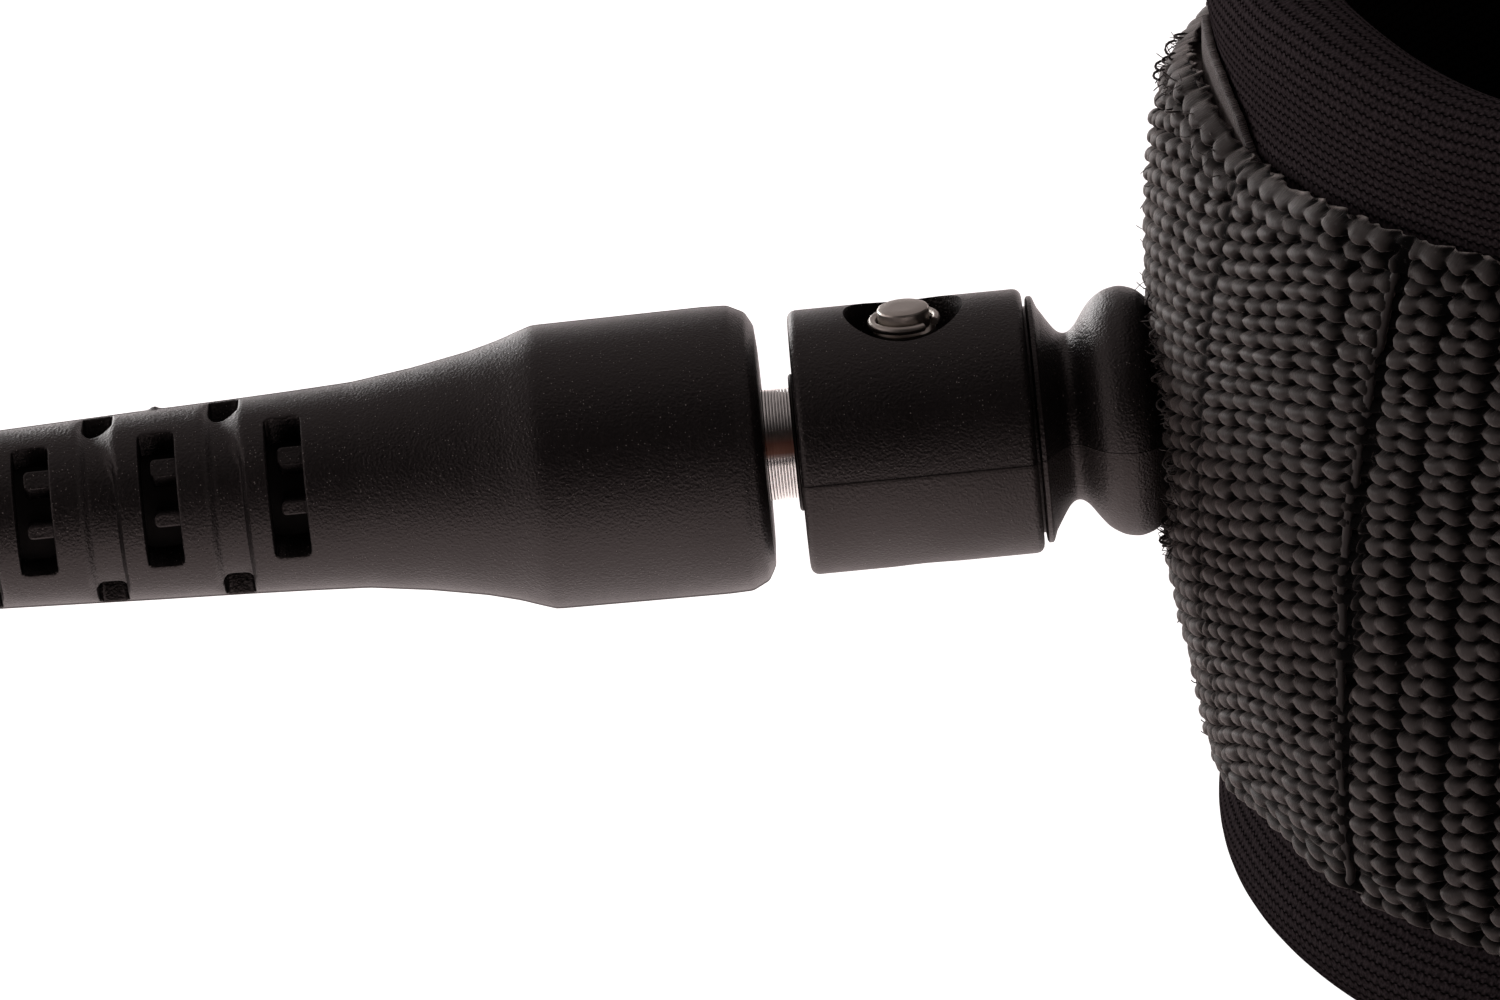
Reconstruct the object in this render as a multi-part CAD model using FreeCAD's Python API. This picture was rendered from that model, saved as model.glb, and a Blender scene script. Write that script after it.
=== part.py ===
import FreeCAD, Part
import math
import os

from FreeCAD import Vector

# Surf leash in millimetres. The ankle cuff stands on its lower rim round the Z axis, its mid-height at z = 0.
# The leash leaves the cuff along -X: horn, swivel, boot, cord, coil, then the board end in front of the cuff.

# Cuff
pad_inner_radius = 36.2
pad_thickness = 6.0
pad_height = 50.0
pad_lip_bevel = 1.8
band_width = 38.0
band_thickness = 1.8
horn_pull = 1.0
horn_pull_spread = 20.0
hinge_angle = 90.0
closing_angle = -8.0
hinge_gap = 0.5
closing_gap = 0.6
layer_gap = 0.3

# Closure
loop_patch_start = -12.0
loop_patch_end = -74.0
loop_patch_height = 34.0
loop_patch_thickness = 1.1
hook_patch_start = -16.0
hook_patch_end = -54.0
hook_patch_height = 32.0
hook_patch_thickness = 1.2
flap_start = 3.0
flap_end = -60.0
root_start = 4.0
root_end = 15.0
flap_height = 36.0
flap_thickness = 1.6
tab_start = -56.0
tab_end = -66.0
tab_height = 22.0
tab_thickness = 1.4

# Horn
horn_stem_radius = 2.6
flange_radius = 6.0
flange_seat_radius = 5.2
flange_crown_place = 1.1
flange_back_place = 2.4
flange_back_radius = 5.25
neck_radius = 3.9
neck_place = 4.0
neck_curve_place = 4.6
neck_curve_radius = 4.4
collar_radius = 6.1
collar_place = 5.0
collar_thickness = 0.6
collar_bevel = 0.2
collar_groove_radius = 5.7
collar_groove_width = 0.2
tenon_radius = 4.6
tenon_length = 10.0
tenon_floor = 1.2
anchor_radius = 7.5
anchor_thickness = 1.2
anchor_gap = 0.1
board_anchor_radius = 5.2

# Swivel
barrel_radius = 6.5
barrel_step = 0.08
barrel_length = 11.4
barrel_bevel = 0.4
barrel_wall = 1.2
pin_place = 6.2
pin_radius = 1.55
pin_proud = 0.07
pin_chamfer = 0.45
pin_chamfer_height = 0.65
pin_well_radius = 2.95
pin_well_depth = 2.3
ring_radius = 1.83
ring_thickness = 0.55
ring_drop = 0.75
ring_gap_angle = 34.0
shaft_radius = 2.75
shaft_inset = 8.6
shaft_head_radius = 4.0
shaft_head_thickness = 2.6
shaft_washer_radius = 3.4
shaft_washer_thickness = 0.4
fixed_fit = 0.02
ring_fit = 0.005
running_fit = 0.05
swivel_gap = 1.8

# Boot
boot_length = 47.0
boot_radius = 7.0
boot_end_bevel = 1.3
boot_straight = 11.2
boot_flare_length = 10.8
boot_flare_sag = 0.42
boot_flare_lean = 0.6
boot_neck_radius = 4.95
boot_tip_radius = 4.05
boot_tip_bevel = 0.5
boot_mouth_clearance = 0.3
window_pitch = 6.25
window_start = 23.5
window_count = 4
window_width = 1.8
window_half_angle = 45.0
window_turn = 24.0
window_tab_width = 0.85
window_tab_length = 1.25
window_tab_turn = 3.0
window_tab_angle = 17.0
window_tab_root = 0.15
groove_offset = 0.2
groove_width = 1.7
groove_depth = 0.45
slot_half_angle = 11.0
spine_half_angle = 8.0

# Inside the boot
cup_radius = 5.5
cup_place = 1.8
cup_length = 12.4
cup_bush_length = 4.0
cup_end_wall = 1.6
cup_cavity_radius = 4.3
thrust_washer_thickness = 0.8
thrust_washer_radius = 4.1
thrust_play = 0.1
ferrule_radius = 3.95
ferrule_flange_radius = 5.0
ferrule_flange_thickness = 1.0
ferrule_length = 7.0

# Cord
cord_diameter = 6.4
cord_bend_share = 0.45
coil_middle_radius = 37.0
coil_columns = 3
coil_rows = 2
coil_turns = 5.5
coil_corner_bevel = 1.9
coil_x = -181.0
coil_y = -30.0

# Rail saver at the board end
saver_width = 25.4
saver_thickness = 1.8
saver_length = 96.0
saver_front_height = 14.6
saver_corner_radius = 2.4
saver_slope_length = 30.0
saver_layer_space = 2.6
saver_neck_length = 3.0
saver_eye_space = 0.3
string_eye_radius = 2.8
saver_patch_length = 44.0
saver_patch_width = 22.0
saver_patch_gap = 0.1
saver_patch_place = 3.3
far_boot_clearance = 0.3
far_boot_lead = 27.0

floor_z = -pad_height / 2
band_inner_radius = pad_inner_radius + pad_thickness
band_radius = band_inner_radius + band_thickness
face_x = -(band_radius + horn_pull)
barrel_x = face_x - collar_place - collar_thickness - collar_groove_width
barrel_end_x = barrel_x - barrel_length
pin_x = barrel_x - pin_place
boot_x = barrel_end_x - swivel_gap
tip_x = boot_x - boot_length
cord_radius = cord_diameter / 2

# Free cord from the boot's tip down to the floor and into the coil, and from the coil to the board end.
coil_outer_row = coil_middle_radius + cord_diameter * (coil_columns - 1) / 2
coil_entry = Vector(coil_x, coil_y + coil_outer_row, floor_z + cord_radius)
coil_exit = Vector(coil_x, coil_y - coil_outer_row, floor_z + cord_radius + cord_diameter)
far_tip = Vector(coil_x + far_boot_lead, coil_exit.y - 1.0, floor_z + boot_radius + far_boot_clearance)
far_move = far_tip - Vector(tip_x, 0, 0)
cord_route = [
    Vector(tip_x, 0, 0),
    Vector(tip_x - 12.0, 0, 0),
    Vector(tip_x - 25.0, 0.8, -3.2),
    Vector(tip_x - 39.0, 4.4, -10.8),
    Vector(tip_x - 55.0, 10.8, -19.4),
    coil_entry,
]
tail_route = [
    coil_exit,
    coil_exit + Vector(9.0, -0.1, -0.5),
    far_tip - Vector(9.0, 0, 0),
    far_tip,
]

os.makedirs("parts", exist_ok=True)


def save(name, *solids):
    """Write one sub-part, which may be a group of separate solids."""
    shape = solids[0] if len(solids) == 1 else Part.makeCompound(list(solids))
    assert shape.isValid(), name
    shape.exportStep(f"parts/{name}.step")
    return shape


def edges_of(start, steps):
    """Edges of a flat outline: a step is a point, or an arc as (point on it, end)."""
    edges = []
    here = start
    for step in steps:
        if isinstance(step, tuple):
            edges.append(Part.Arc(here, step[0], step[1]).toShape())
            here = step[1]
        else:
            edges.append(Part.makeLine(here, step))
            here = step
    return edges


def turned(start, steps):
    """A solid turned round the leash's own axis from an outline of (x, radius) points."""
    edges = edges_of(start, steps)
    edges.append(Part.makeLine(edges[-1].Vertexes[-1].Point, start))
    face = Part.Face(Part.Wire(edges))
    return face.revolve(Vector(0, 0, 0), Vector(1, 0, 0), 360)


def at(x, radius):
    return Vector(x, radius, 0)


def rod(x0, x1, radius):
    """A plain round bar along the leash's axis."""
    return Part.makeCylinder(radius, abs(x1 - x0), Vector(min(x0, x1), 0, 0), Vector(1, 0, 0))


def section(inner, outer, height, bevel=0.0):
    """The cut of a strap, pad or coil, in the XZ plane, with its corners bevelled."""
    top = height / 2
    corners = [
        (inner, -top, 0, bevel),
        (inner, -top, bevel, 0),
        (outer, -top, -bevel, 0),
        (outer, -top, 0, bevel),
        (outer, top, 0, -bevel),
        (outer, top, -bevel, 0),
        (inner, top, bevel, 0),
        (inner, top, 0, -bevel),
    ]
    points = []
    for x, z, aside, up in corners[:: 1 if bevel else 2]:
        points.append(Vector(x + aside, 0, z + up))
    return Part.Face(Part.makePolygon(points + points[:1]))


def hoop(inner, outer, height, start, end, bevel=0.0):
    """A stretch of a strap or pad round the ankle, from one angle to another in degrees."""
    face = section(inner, outer, height, bevel)
    face.rotate(Vector(0, 0, 0), Vector(0, 0, 1), start)
    return face.revolve(Vector(0, 0, 0), Vector(0, 0, 1), end - start)


def gap_angle(gap, radius):
    return math.degrees(gap / radius)


def pulled_shell(inner, outer, height):
    """The stretch of strap that the horn pulls out, on a flatter circle."""
    half = math.radians(horn_pull_spread)
    ends = []
    arcs = []
    for radius in (inner, outer):
        low = Vector(-radius * math.cos(half), -radius * math.sin(half), -height / 2)
        high = Vector(low.x, -low.y, low.z)
        ends.append((low, high))
        arcs.append(Part.Arc(low, Vector(-radius - horn_pull, 0, low.z), high).toShape())
    sides = [Part.makeLine(ends[0][side], ends[1][side]) for side in (0, 1)]
    face = Part.Face(Part.Wire([arcs[0], sides[1], arcs[1], sides[0]]))
    return face.extrude(Vector(0, 0, height))


# The horn and what holds it behind the strap


def make_anchor(clearance=0.0):
    """The round plate behind the strap, curved as the strap is."""
    plate = pulled_shell(
        band_inner_radius - anchor_gap - anchor_thickness - clearance,
        band_inner_radius - anchor_gap + clearance,
        3 * anchor_radius,
    )
    return plate.common(rod(face_x - 1, face_x + 12, anchor_radius + clearance))


def stem_hole():
    return rod(face_x - 1, face_x + 12, horn_stem_radius + fixed_fit)


def make_horn():
    """Flange against the strap, waisted neck, collar, and the tenon that the barrel sits on."""
    stem_end = face_x + band_thickness + anchor_thickness
    neck_x = face_x - neck_place
    collar_x = face_x - collar_place
    collar_end = collar_x - collar_thickness
    tenon_end = barrel_x - tenon_length
    flange_crown = at(face_x - flange_crown_place, flange_radius)
    flange_back = at(face_x - flange_back_place, flange_back_radius)
    neck_curve = at(face_x - neck_curve_place, neck_curve_radius)
    outline = [
        at(stem_end, horn_stem_radius),
        at(face_x, horn_stem_radius),
        at(face_x, flange_seat_radius),
        (flange_crown, flange_back),
        at(neck_x + 0.35, neck_radius),
        (neck_curve, at(collar_x, collar_radius - collar_bevel)),
        at(collar_x - collar_bevel, collar_radius),
        at(collar_end, collar_radius),
        at(collar_end, collar_groove_radius),
        at(barrel_x, collar_groove_radius),
        at(barrel_x, tenon_radius),
        at(tenon_end, tenon_radius),
        at(tenon_end, 0),
    ]
    horn = turned(at(stem_end, 0), outline)
    bore = rod(pin_x + shaft_radius + tenon_floor, tenon_end - 1, shaft_radius + fixed_fit)
    return horn.cut(bore).cut(pin_hole())


def pin_hole():
    reach = barrel_radius + 2
    return Part.makeCylinder(pin_radius + fixed_fit, 2 * reach, Vector(pin_x, 0, -reach))


# The swivel


def bevelled_bar(x0, x1, radius, bevel):
    return turned(
        at(x0, 0),
        [
            at(x0, radius - bevel),
            at(x0 - bevel, radius),
            at(x1 + bevel, radius),
            at(x1, radius - bevel),
            at(x1, 0),
        ],
    )


def make_barrel():
    """Two moulded halves in one piece, the lower a shade proud, with a well for the pin's head each side."""
    upper = bevelled_bar(barrel_x, barrel_end_x, barrel_radius, barrel_bevel)
    lower = bevelled_bar(barrel_x, barrel_end_x, barrel_radius + barrel_step, barrel_bevel)
    side = 2 * barrel_radius + 4
    below = Part.makeBox(barrel_length + 2, side, side, Vector(barrel_end_x - 1, -side / 2, -side))
    body = upper.fuse(lower.common(below)).removeSplitter()
    body = body.cut(rod(barrel_x + 1, barrel_end_x + barrel_wall, tenon_radius + fixed_fit))
    body = body.cut(rod(barrel_x, barrel_end_x - 1, shaft_radius + fixed_fit))
    well_floor = barrel_radius - pin_well_depth
    for turn in (0, 180):
        well = Part.makeCylinder(pin_well_radius, pin_well_depth + 2, Vector(pin_x, 0, well_floor))
        well.rotate(Vector(pin_x, 0, 0), Vector(1, 0, 0), turn)
        body = body.cut(well)
    return body.cut(pin_hole())


def make_pin():
    """The upright pin through barrel, tenon and shaft, chamfered at both ends."""
    half = barrel_radius + pin_proud
    edges = edges_of(
        Vector(0, 0, -half),
        [
            Vector(pin_radius - pin_chamfer, 0, -half),
            Vector(pin_radius, 0, -half + pin_chamfer_height),
            Vector(pin_radius, 0, half - pin_chamfer_height),
            Vector(pin_radius - pin_chamfer, 0, half),
            Vector(0, 0, half),
            Vector(0, 0, -half),
        ],
    )
    pin = Part.Face(Part.Wire(edges)).revolve(Vector(0, 0, 0), Vector(0, 0, 1), 360)
    pin.translate(Vector(pin_x, 0, 0))
    return pin


def make_pin_rings():
    """A split retaining ring round each end of the pin."""
    rings = []
    for side in (1, -1):
        top = side * (barrel_radius - ring_drop)
        base = min(top, top - side * ring_thickness)
        foot = Vector(0, 0, base)
        ring = Part.makeCylinder(ring_radius, ring_thickness, foot, Vector(0, 0, 1), 360 - ring_gap_angle)
        ring = ring.cut(Part.makeCylinder(pin_radius + ring_fit, ring_thickness, foot))
        ring.rotate(Vector(0, 0, 0), Vector(0, 0, 1), ring_gap_angle / 2)
        ring.translate(Vector(pin_x, 0, 0))
        rings.append(ring)
    return rings


def make_shaft():
    """The steel shaft, held in the barrel by the pin, with the head that the boot hangs on."""
    start_x = barrel_end_x + shaft_inset
    shaft = rod(start_x, head_x, shaft_radius).fuse(rod(head_x, head_end_x, shaft_head_radius))
    return shaft.removeSplitter().cut(pin_hole())


def make_shaft_washer():
    washer = rod(barrel_end_x, barrel_end_x - shaft_washer_thickness, shaft_washer_radius)
    return washer.cut(rod(barrel_end_x + 1, barrel_end_x - 2, shaft_radius + fixed_fit))


cup_x = boot_x - cup_place
cup_end_x = cup_x - cup_length
cup_shoulder_x = cup_x - cup_bush_length
head_x = cup_shoulder_x - thrust_washer_thickness - 2 * thrust_play
head_end_x = head_x - shaft_head_thickness


# What turns with the cord


def make_cup():
    """The rigid cup that the shaft's head turns in: a long bush in front, a wall behind."""
    cup = rod(cup_x, cup_end_x, cup_radius)
    cup = cup.cut(rod(cup_x + 1, cup_shoulder_x, shaft_radius + running_fit))
    return cup.cut(rod(cup_shoulder_x, cup_end_x + cup_end_wall, cup_cavity_radius))


def make_thrust_washers():
    """A washer on each side of the shaft's head."""
    front_x = cup_shoulder_x - thrust_play
    front = rod(front_x, front_x - thrust_washer_thickness, thrust_washer_radius)
    front = front.cut(rod(cup_x, cup_end_x, shaft_radius + running_fit))
    back_x = cup_end_x + cup_end_wall
    back = rod(back_x, back_x + thrust_washer_thickness, thrust_washer_radius)
    return [front, back]


def make_ferrule():
    """The sleeve that the cord is bonded in, with a flange against the cup."""
    flange = rod(cup_end_x, cup_end_x - ferrule_flange_thickness, ferrule_flange_radius)
    sleeve = rod(cup_end_x, cup_end_x - ferrule_flange_thickness - ferrule_length, ferrule_radius)
    bore = rod(cup_end_x - ferrule_flange_thickness, tip_x, cord_radius + fixed_fit)
    return flange.fuse(sleeve).removeSplitter().cut(bore)


def make_core():
    return rod(cup_end_x - ferrule_flange_thickness, tip_x, cord_radius)


def boot_outside():
    """Straight grip, concave flare and a long taper to the cord."""
    flare_x = boot_x - boot_straight
    neck_x = flare_x - boot_flare_length
    flare_middle_x = (flare_x + neck_x) / 2 + boot_flare_lean
    flare_middle_radius = (boot_radius + boot_neck_radius) / 2 - boot_flare_sag
    return turned(
        at(boot_x, 0),
        [
            at(boot_x, boot_radius - boot_end_bevel),
            at(boot_x - 0.3 * boot_end_bevel, boot_radius - 0.3 * boot_end_bevel),
            at(boot_x - boot_end_bevel, boot_radius),
            at(flare_x, boot_radius),
            (at(flare_middle_x, flare_middle_radius), at(neck_x, boot_neck_radius)),
            at(tip_x + boot_tip_bevel, boot_tip_radius),
            at(tip_x, boot_tip_radius - boot_tip_bevel),
            at(tip_x, 0),
        ],
    )


def ring_cut(middle_x, width, inner, outer, middle_angle, half_angle):
    """A slot through the boot's wall, part of the way round. Angle 0 looks along -Y, 90 up."""
    tool = Part.makeCylinder(outer, width, Vector(0, 0, 0), Vector(0, 0, 1), 2 * half_angle)
    if inner:
        tool = tool.cut(Part.makeCylinder(inner, width))
    tool.rotate(Vector(0, 0, 0), Vector(0, 0, 1), -half_angle)
    tool.rotate(Vector(0, 0, 0), Vector(0, 1, 0), -90)
    tool.rotate(Vector(0, 0, 0), Vector(1, 0, 0), 90 - middle_angle)
    tool.translate(Vector(middle_x + width / 2, 0, 0))
    return tool


def window_tabs(middle_x, middle_angle):
    """The two small tabs inside a window, on the wall that is nearer the swivel."""
    tabs = []
    side = window_tab_width
    inner = cord_radius + window_tab_width / 2
    for angle in (middle_angle - window_tab_angle, middle_angle + window_tab_angle):
        x = middle_x + window_width / 2 - window_tab_length
        corner = Vector(x, -inner - side, -side / 2)
        tab = Part.makeBox(window_tab_length + window_tab_root, side, side, corner)
        tab.rotate(Vector(0, 0, 0), Vector(1, 0, 0), -angle)
        tabs.append(tab)
    return tabs


def make_boot(tabbed):
    """The boot over cup, ferrule and cord, pierced and grooved so that it bends with the cord."""
    boot = boot_outside()
    boot = boot.cut(rod(boot_x + 1, cup_x, shaft_radius + boot_mouth_clearance))
    boot = boot.cut(rod(cup_x, cup_end_x, cup_radius))
    boot = boot.cut(rod(cup_end_x, cup_end_x - ferrule_flange_thickness, ferrule_flange_radius))
    sleeve_end = cup_end_x - ferrule_flange_thickness - ferrule_length
    boot = boot.cut(rod(cup_end_x - ferrule_flange_thickness, sleeve_end, ferrule_radius))
    boot = boot.cut(rod(sleeve_end, tip_x - 1, cord_radius + fixed_fit))
    reach = boot_neck_radius + 1
    tabs = []
    for i in range(window_count):
        x = boot_x - window_start - i * window_pitch
        for side in (0, 180):
            angle = window_turn + side
            boot = boot.cut(ring_cut(x, window_width, 0, reach, angle, window_half_angle))
            if tabbed:
                tabs += window_tabs(x, angle + window_tab_turn)
    for i in range(window_count - 1):
        x = boot_x - window_start - (i + 0.5) * window_pitch + groove_offset
        groove_floor = boot_neck_radius - (boot_neck_radius - boot_tip_radius) * (i + 1) / window_count
        for side in (0, 180):
            angle = window_turn + side
            half = 90 - spine_half_angle
            boot = boot.cut(ring_cut(x, groove_width, groove_floor - groove_depth, reach, angle, half))
            for away in (slot_half_angle - half, half - slot_half_angle):
                boot = boot.cut(ring_cut(x, groove_width, 0, reach, angle + away, slot_half_angle))
    return boot.fuse(tabs) if tabs else boot


# Cord


def cord_tube(route):
    """Straight runs joined by tangent arcs, each as large as its two runs allow."""
    here = route[0]
    path = []
    radii = []
    for i in range(1, len(route) - 1):
        back = (route[i - 1] - route[i]).normalize()
        ahead = (route[i + 1] - route[i]).normalize()
        half_turn = (math.pi - back.getAngle(ahead)) / 2
        shorter = min((route[i - 1] - route[i]).Length, (route[i + 1] - route[i]).Length)
        setback = cord_bend_share * shorter
        radius = setback / math.tan(half_turn)
        radii.append(round(radius, 1))
        begin = route[i] + back * setback
        end = route[i] + ahead * setback
        bisector = (back + ahead).normalize()
        centre_distance = radius / math.cos(half_turn)
        middle = route[i] + bisector * (centre_distance - radius)
        path.append(Part.LineSegment(here, begin).toShape())
        path.append(Part.Arc(begin, middle, end).toShape())
        here = end
    path.append(Part.LineSegment(here, route[-1]).toShape())
    wire = Part.Wire(path)
    section = Part.Wire(Part.Circle(route[0], route[1] - route[0], cord_radius).toShape())
    tube = wire.makePipeShell([section], True, False)
    print("bend radii", radii, "length", round(wire.Length, 1))
    return tube


def make_coil():
    """The space of the wound cord: a low ring on the floor."""
    half_width = coil_columns * cord_diameter / 2
    height = coil_rows * cord_diameter
    inner = coil_middle_radius - half_width
    face = section(inner, inner + 2 * half_width, height, coil_corner_bevel)
    coil = face.revolve(Vector(0, 0, 0), Vector(0, 0, 1), 360)
    coil.translate(Vector(coil_x, coil_y, floor_z + height / 2))
    print("wound length", round(coil_turns * 2 * math.pi * coil_middle_radius))
    return coil


# Board end


def make_saver():
    """A closed loop of strap: upright at the horn, then flat, sewn shut at a neck before the string's eye."""
    front_x = far_move.x + face_x
    y = far_tip.y - saver_width / 2
    wall = saver_thickness
    corner = saver_corner_radius
    flat_top = 2 * wall + saver_layer_space
    slope = math.atan((saver_front_height - flat_top) / (saver_slope_length - corner))
    eye_radius = string_eye_radius + wall
    eye_x = saver_length - eye_radius
    neck_x = eye_x - eye_radius - saver_neck_length

    def spot(x, up):
        return Vector(front_x + x, y, floor_z + up)

    bend = 1 - math.sqrt(0.5)
    outside = edges_of(
        spot(0, corner),
        [
            spot(0, saver_front_height - corner),
            (spot(corner * bend, saver_front_height - corner * bend), spot(corner, saver_front_height)),
            spot(saver_slope_length, flat_top),
            spot(neck_x, flat_top),
            spot(neck_x + saver_neck_length, 2 * wall + saver_eye_space),
            spot(eye_x, 2 * wall + saver_eye_space),
            spot(eye_x, 0),
            spot(corner, 0),
            (spot(corner * bend, corner * bend), spot(0, corner)),
        ],
    )
    inner_top = flat_top - wall
    upright = wall / math.cos(slope)
    shift = (upright - wall) / math.tan(slope)
    top_up = saver_front_height - upright
    inside = edges_of(
        spot(wall, wall),
        [
            spot(wall, top_up),
            spot(corner, top_up),
            spot(saver_slope_length - shift, inner_top),
            spot(neck_x, inner_top),
            spot(neck_x + 0.5 * saver_neck_length, wall),
            spot(wall, wall),
        ],
    )
    across = Vector(0, saver_width, 0)
    strap = Part.Face(Part.Wire(outside)).extrude(across)
    strap = strap.cut(Part.Face(Part.Wire(inside)).extrude(across))
    eye = spot(eye_x, eye_radius)
    strap = strap.fuse(Part.makeCylinder(eye_radius, saver_width, eye, Vector(0, 1, 0)))
    strap = strap.cut(Part.makeCylinder(string_eye_radius, saver_width, eye, Vector(0, 1, 0)))
    stem = rod(face_x - 1, face_x + wall + 1, horn_stem_radius + fixed_fit)
    return strap.removeSplitter().cut(moved(stem))


def make_board_anchor():
    """The flat plate behind the strap at the board end."""
    plate = rod(face_x + saver_thickness, face_x + saver_thickness + anchor_thickness, board_anchor_radius)
    return moved(plate.cut(rod(face_x, face_x + 9, horn_stem_radius + fixed_fit)))


def make_saver_patches():
    """Hook and loop strips, one on each layer, that meet in the middle."""
    start_x = far_move.x + face_x + saver_slope_length + saver_patch_place
    patches = []
    thickness = (saver_layer_space - 2 * saver_patch_gap) / 2
    for row in (0, 1):
        z = floor_z + saver_thickness + row * (thickness + 2 * saver_patch_gap)
        corner = Vector(start_x, far_tip.y - saver_patch_width / 2, z)
        patches.append(Part.makeBox(saver_patch_length, saver_patch_width, thickness, corner))
    return patches


# Cuff


def base_span(radius):
    """Where the fixed stretch of the cuff begins and ends, at a radius."""
    start = hinge_angle + gap_angle(hinge_gap / 2, radius)
    end = closing_angle + 360 - gap_angle(closing_gap / 2, radius)
    return start, end


def arm_span(radius):
    """Where the swinging stretch begins and ends."""
    start = closing_angle + gap_angle(closing_gap / 2, radius)
    end = hinge_angle - gap_angle(hinge_gap / 2, radius)
    return start, end


def make_pad_base():
    start, end = base_span(pad_inner_radius)
    pad = hoop(pad_inner_radius, band_inner_radius, pad_height, start, end, pad_lip_bevel)
    stem = rod(face_x, face_x + band_thickness + anchor_thickness + anchor_gap, horn_stem_radius + anchor_gap)
    return pad.cut(make_anchor(anchor_gap)).cut(stem)


def make_band_base():
    start, end = base_span(pad_inner_radius)
    band = hoop(band_inner_radius, band_radius, band_width, start, 180 - horn_pull_spread)
    band = band.fuse(pulled_shell(band_inner_radius, band_radius, band_width))
    band = band.fuse(hoop(band_inner_radius, band_radius, band_width, 180 + horn_pull_spread, end))
    return band.cut(rod(face_x - 1, face_x + 6, horn_stem_radius + fixed_fit))


def make_pad_arm():
    start, end = arm_span(pad_inner_radius)
    return hoop(pad_inner_radius, band_inner_radius, pad_height, start, end, pad_lip_bevel)


def make_band_arm():
    start, end = arm_span(pad_inner_radius)
    return hoop(band_inner_radius, band_radius, band_width, start, end)


loop_radius = band_radius + loop_patch_thickness
hook_inner = loop_radius + layer_gap
flap_inner = hook_inner + hook_patch_thickness


def make_loop_patch():
    return hoop(band_radius, loop_radius, loop_patch_height, loop_patch_end, loop_patch_start)


def make_hook_patch():
    return hoop(hook_inner, flap_inner, hook_patch_height, hook_patch_end, hook_patch_start)


def make_flap():
    return hoop(flap_inner, flap_inner + flap_thickness, flap_height, flap_end, flap_start)


def make_flap_root():
    """The folded end of the flap, sewn down on the swinging stretch of the band."""
    return hoop(band_radius, flap_inner + flap_thickness, flap_height, root_start, root_end)


def make_pull_tab():
    inner = flap_inner + flap_thickness
    return hoop(inner, inner + tab_thickness, tab_height, tab_end, tab_start)


def moved(shape):
    """The same piece at the board end."""
    copy = shape.copy()
    copy.translate(far_move)
    return copy


for name, solids in {
    "cuff_horn": [make_horn()],
    "cuff_swivel_barrel": [make_barrel()],
    "cuff_cross_pin": [make_pin()],
    "cuff_pin_rings": make_pin_rings(),
    "cuff_swivel_shaft": [make_shaft()],
    "cuff_shaft_washer": [make_shaft_washer()],
    "cuff_boot": [make_boot(True)],
    "cuff_swivel_cup": [make_cup()],
    "cuff_thrust_washers": make_thrust_washers(),
    "cuff_cord_ferrule": [make_ferrule()],
    "cuff_cord_core": [make_core()],
    "board_horn": [moved(make_horn())],
    "board_swivel_barrel": [moved(make_barrel())],
    "board_cross_pin": [moved(make_pin())],
    "board_swivel_shaft": [moved(make_shaft())],
    "board_boot": [moved(make_boot(False))],
    "board_swivel_cup": [moved(make_cup().fuse([make_ferrule(), make_core()]).removeSplitter())],
}.items():
    save(name, *solids)

save("cuff_horn_anchor", make_anchor().cut(stem_hole()))
save("board_horn_anchor", make_board_anchor())
save("ankle_pad", make_pad_base())
save("cuff_band", make_band_base())
save("loop_patch", make_loop_patch())
save("ankle_pad_arm", make_pad_arm())
save("cuff_band_arm", make_band_arm())
save("flap_root", make_flap_root())
save("closure_flap", make_flap())
save("hook_patch", make_hook_patch())
save("pull_tab", make_pull_tab())
save("free_cord", cord_tube(cord_route))
save("tail_cord", cord_tube(tail_route))
save("cord_coil", make_coil())
save("rail_saver", make_saver())
save("saver_patches", *make_saver_patches())
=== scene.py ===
import bpy
import math
import random
import numpy as np
from mathutils import Matrix, Vector


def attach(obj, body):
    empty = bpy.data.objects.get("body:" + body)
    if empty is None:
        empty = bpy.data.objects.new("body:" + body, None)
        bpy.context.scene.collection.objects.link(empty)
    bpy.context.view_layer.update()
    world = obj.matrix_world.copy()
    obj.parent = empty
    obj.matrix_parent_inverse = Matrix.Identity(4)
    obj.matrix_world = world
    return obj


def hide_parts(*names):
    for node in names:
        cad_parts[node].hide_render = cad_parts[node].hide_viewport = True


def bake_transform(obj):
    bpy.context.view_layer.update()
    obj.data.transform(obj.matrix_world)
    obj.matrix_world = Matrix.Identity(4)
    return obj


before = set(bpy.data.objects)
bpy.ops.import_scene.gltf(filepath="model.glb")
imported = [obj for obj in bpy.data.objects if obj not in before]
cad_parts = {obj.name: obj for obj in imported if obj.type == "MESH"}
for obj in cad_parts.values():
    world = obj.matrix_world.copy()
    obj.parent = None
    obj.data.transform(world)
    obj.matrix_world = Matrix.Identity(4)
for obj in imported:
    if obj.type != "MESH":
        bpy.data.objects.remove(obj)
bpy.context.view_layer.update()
scene = bpy.context.scene
mm = 0.001
print("frame loaded,", len(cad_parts), "nodes")


# ---- camera, at the photograph's angle; places in mm

photoView = {
    "elevation": 20.5,
    "yaw": 1.0,
    "roll": 5.9,
    "distance": 550.0,
    "pixelsPerMm": 20.3,
    "imageWidth": 1500,
    "imageHeight": 1000,
    "strapFace": (-45.0, 0.0, 0.0),
    "strapFacePixel": (1150, 408),
    "sensor": 36.0,
    "clip": (0.02, 20),
}


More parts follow.
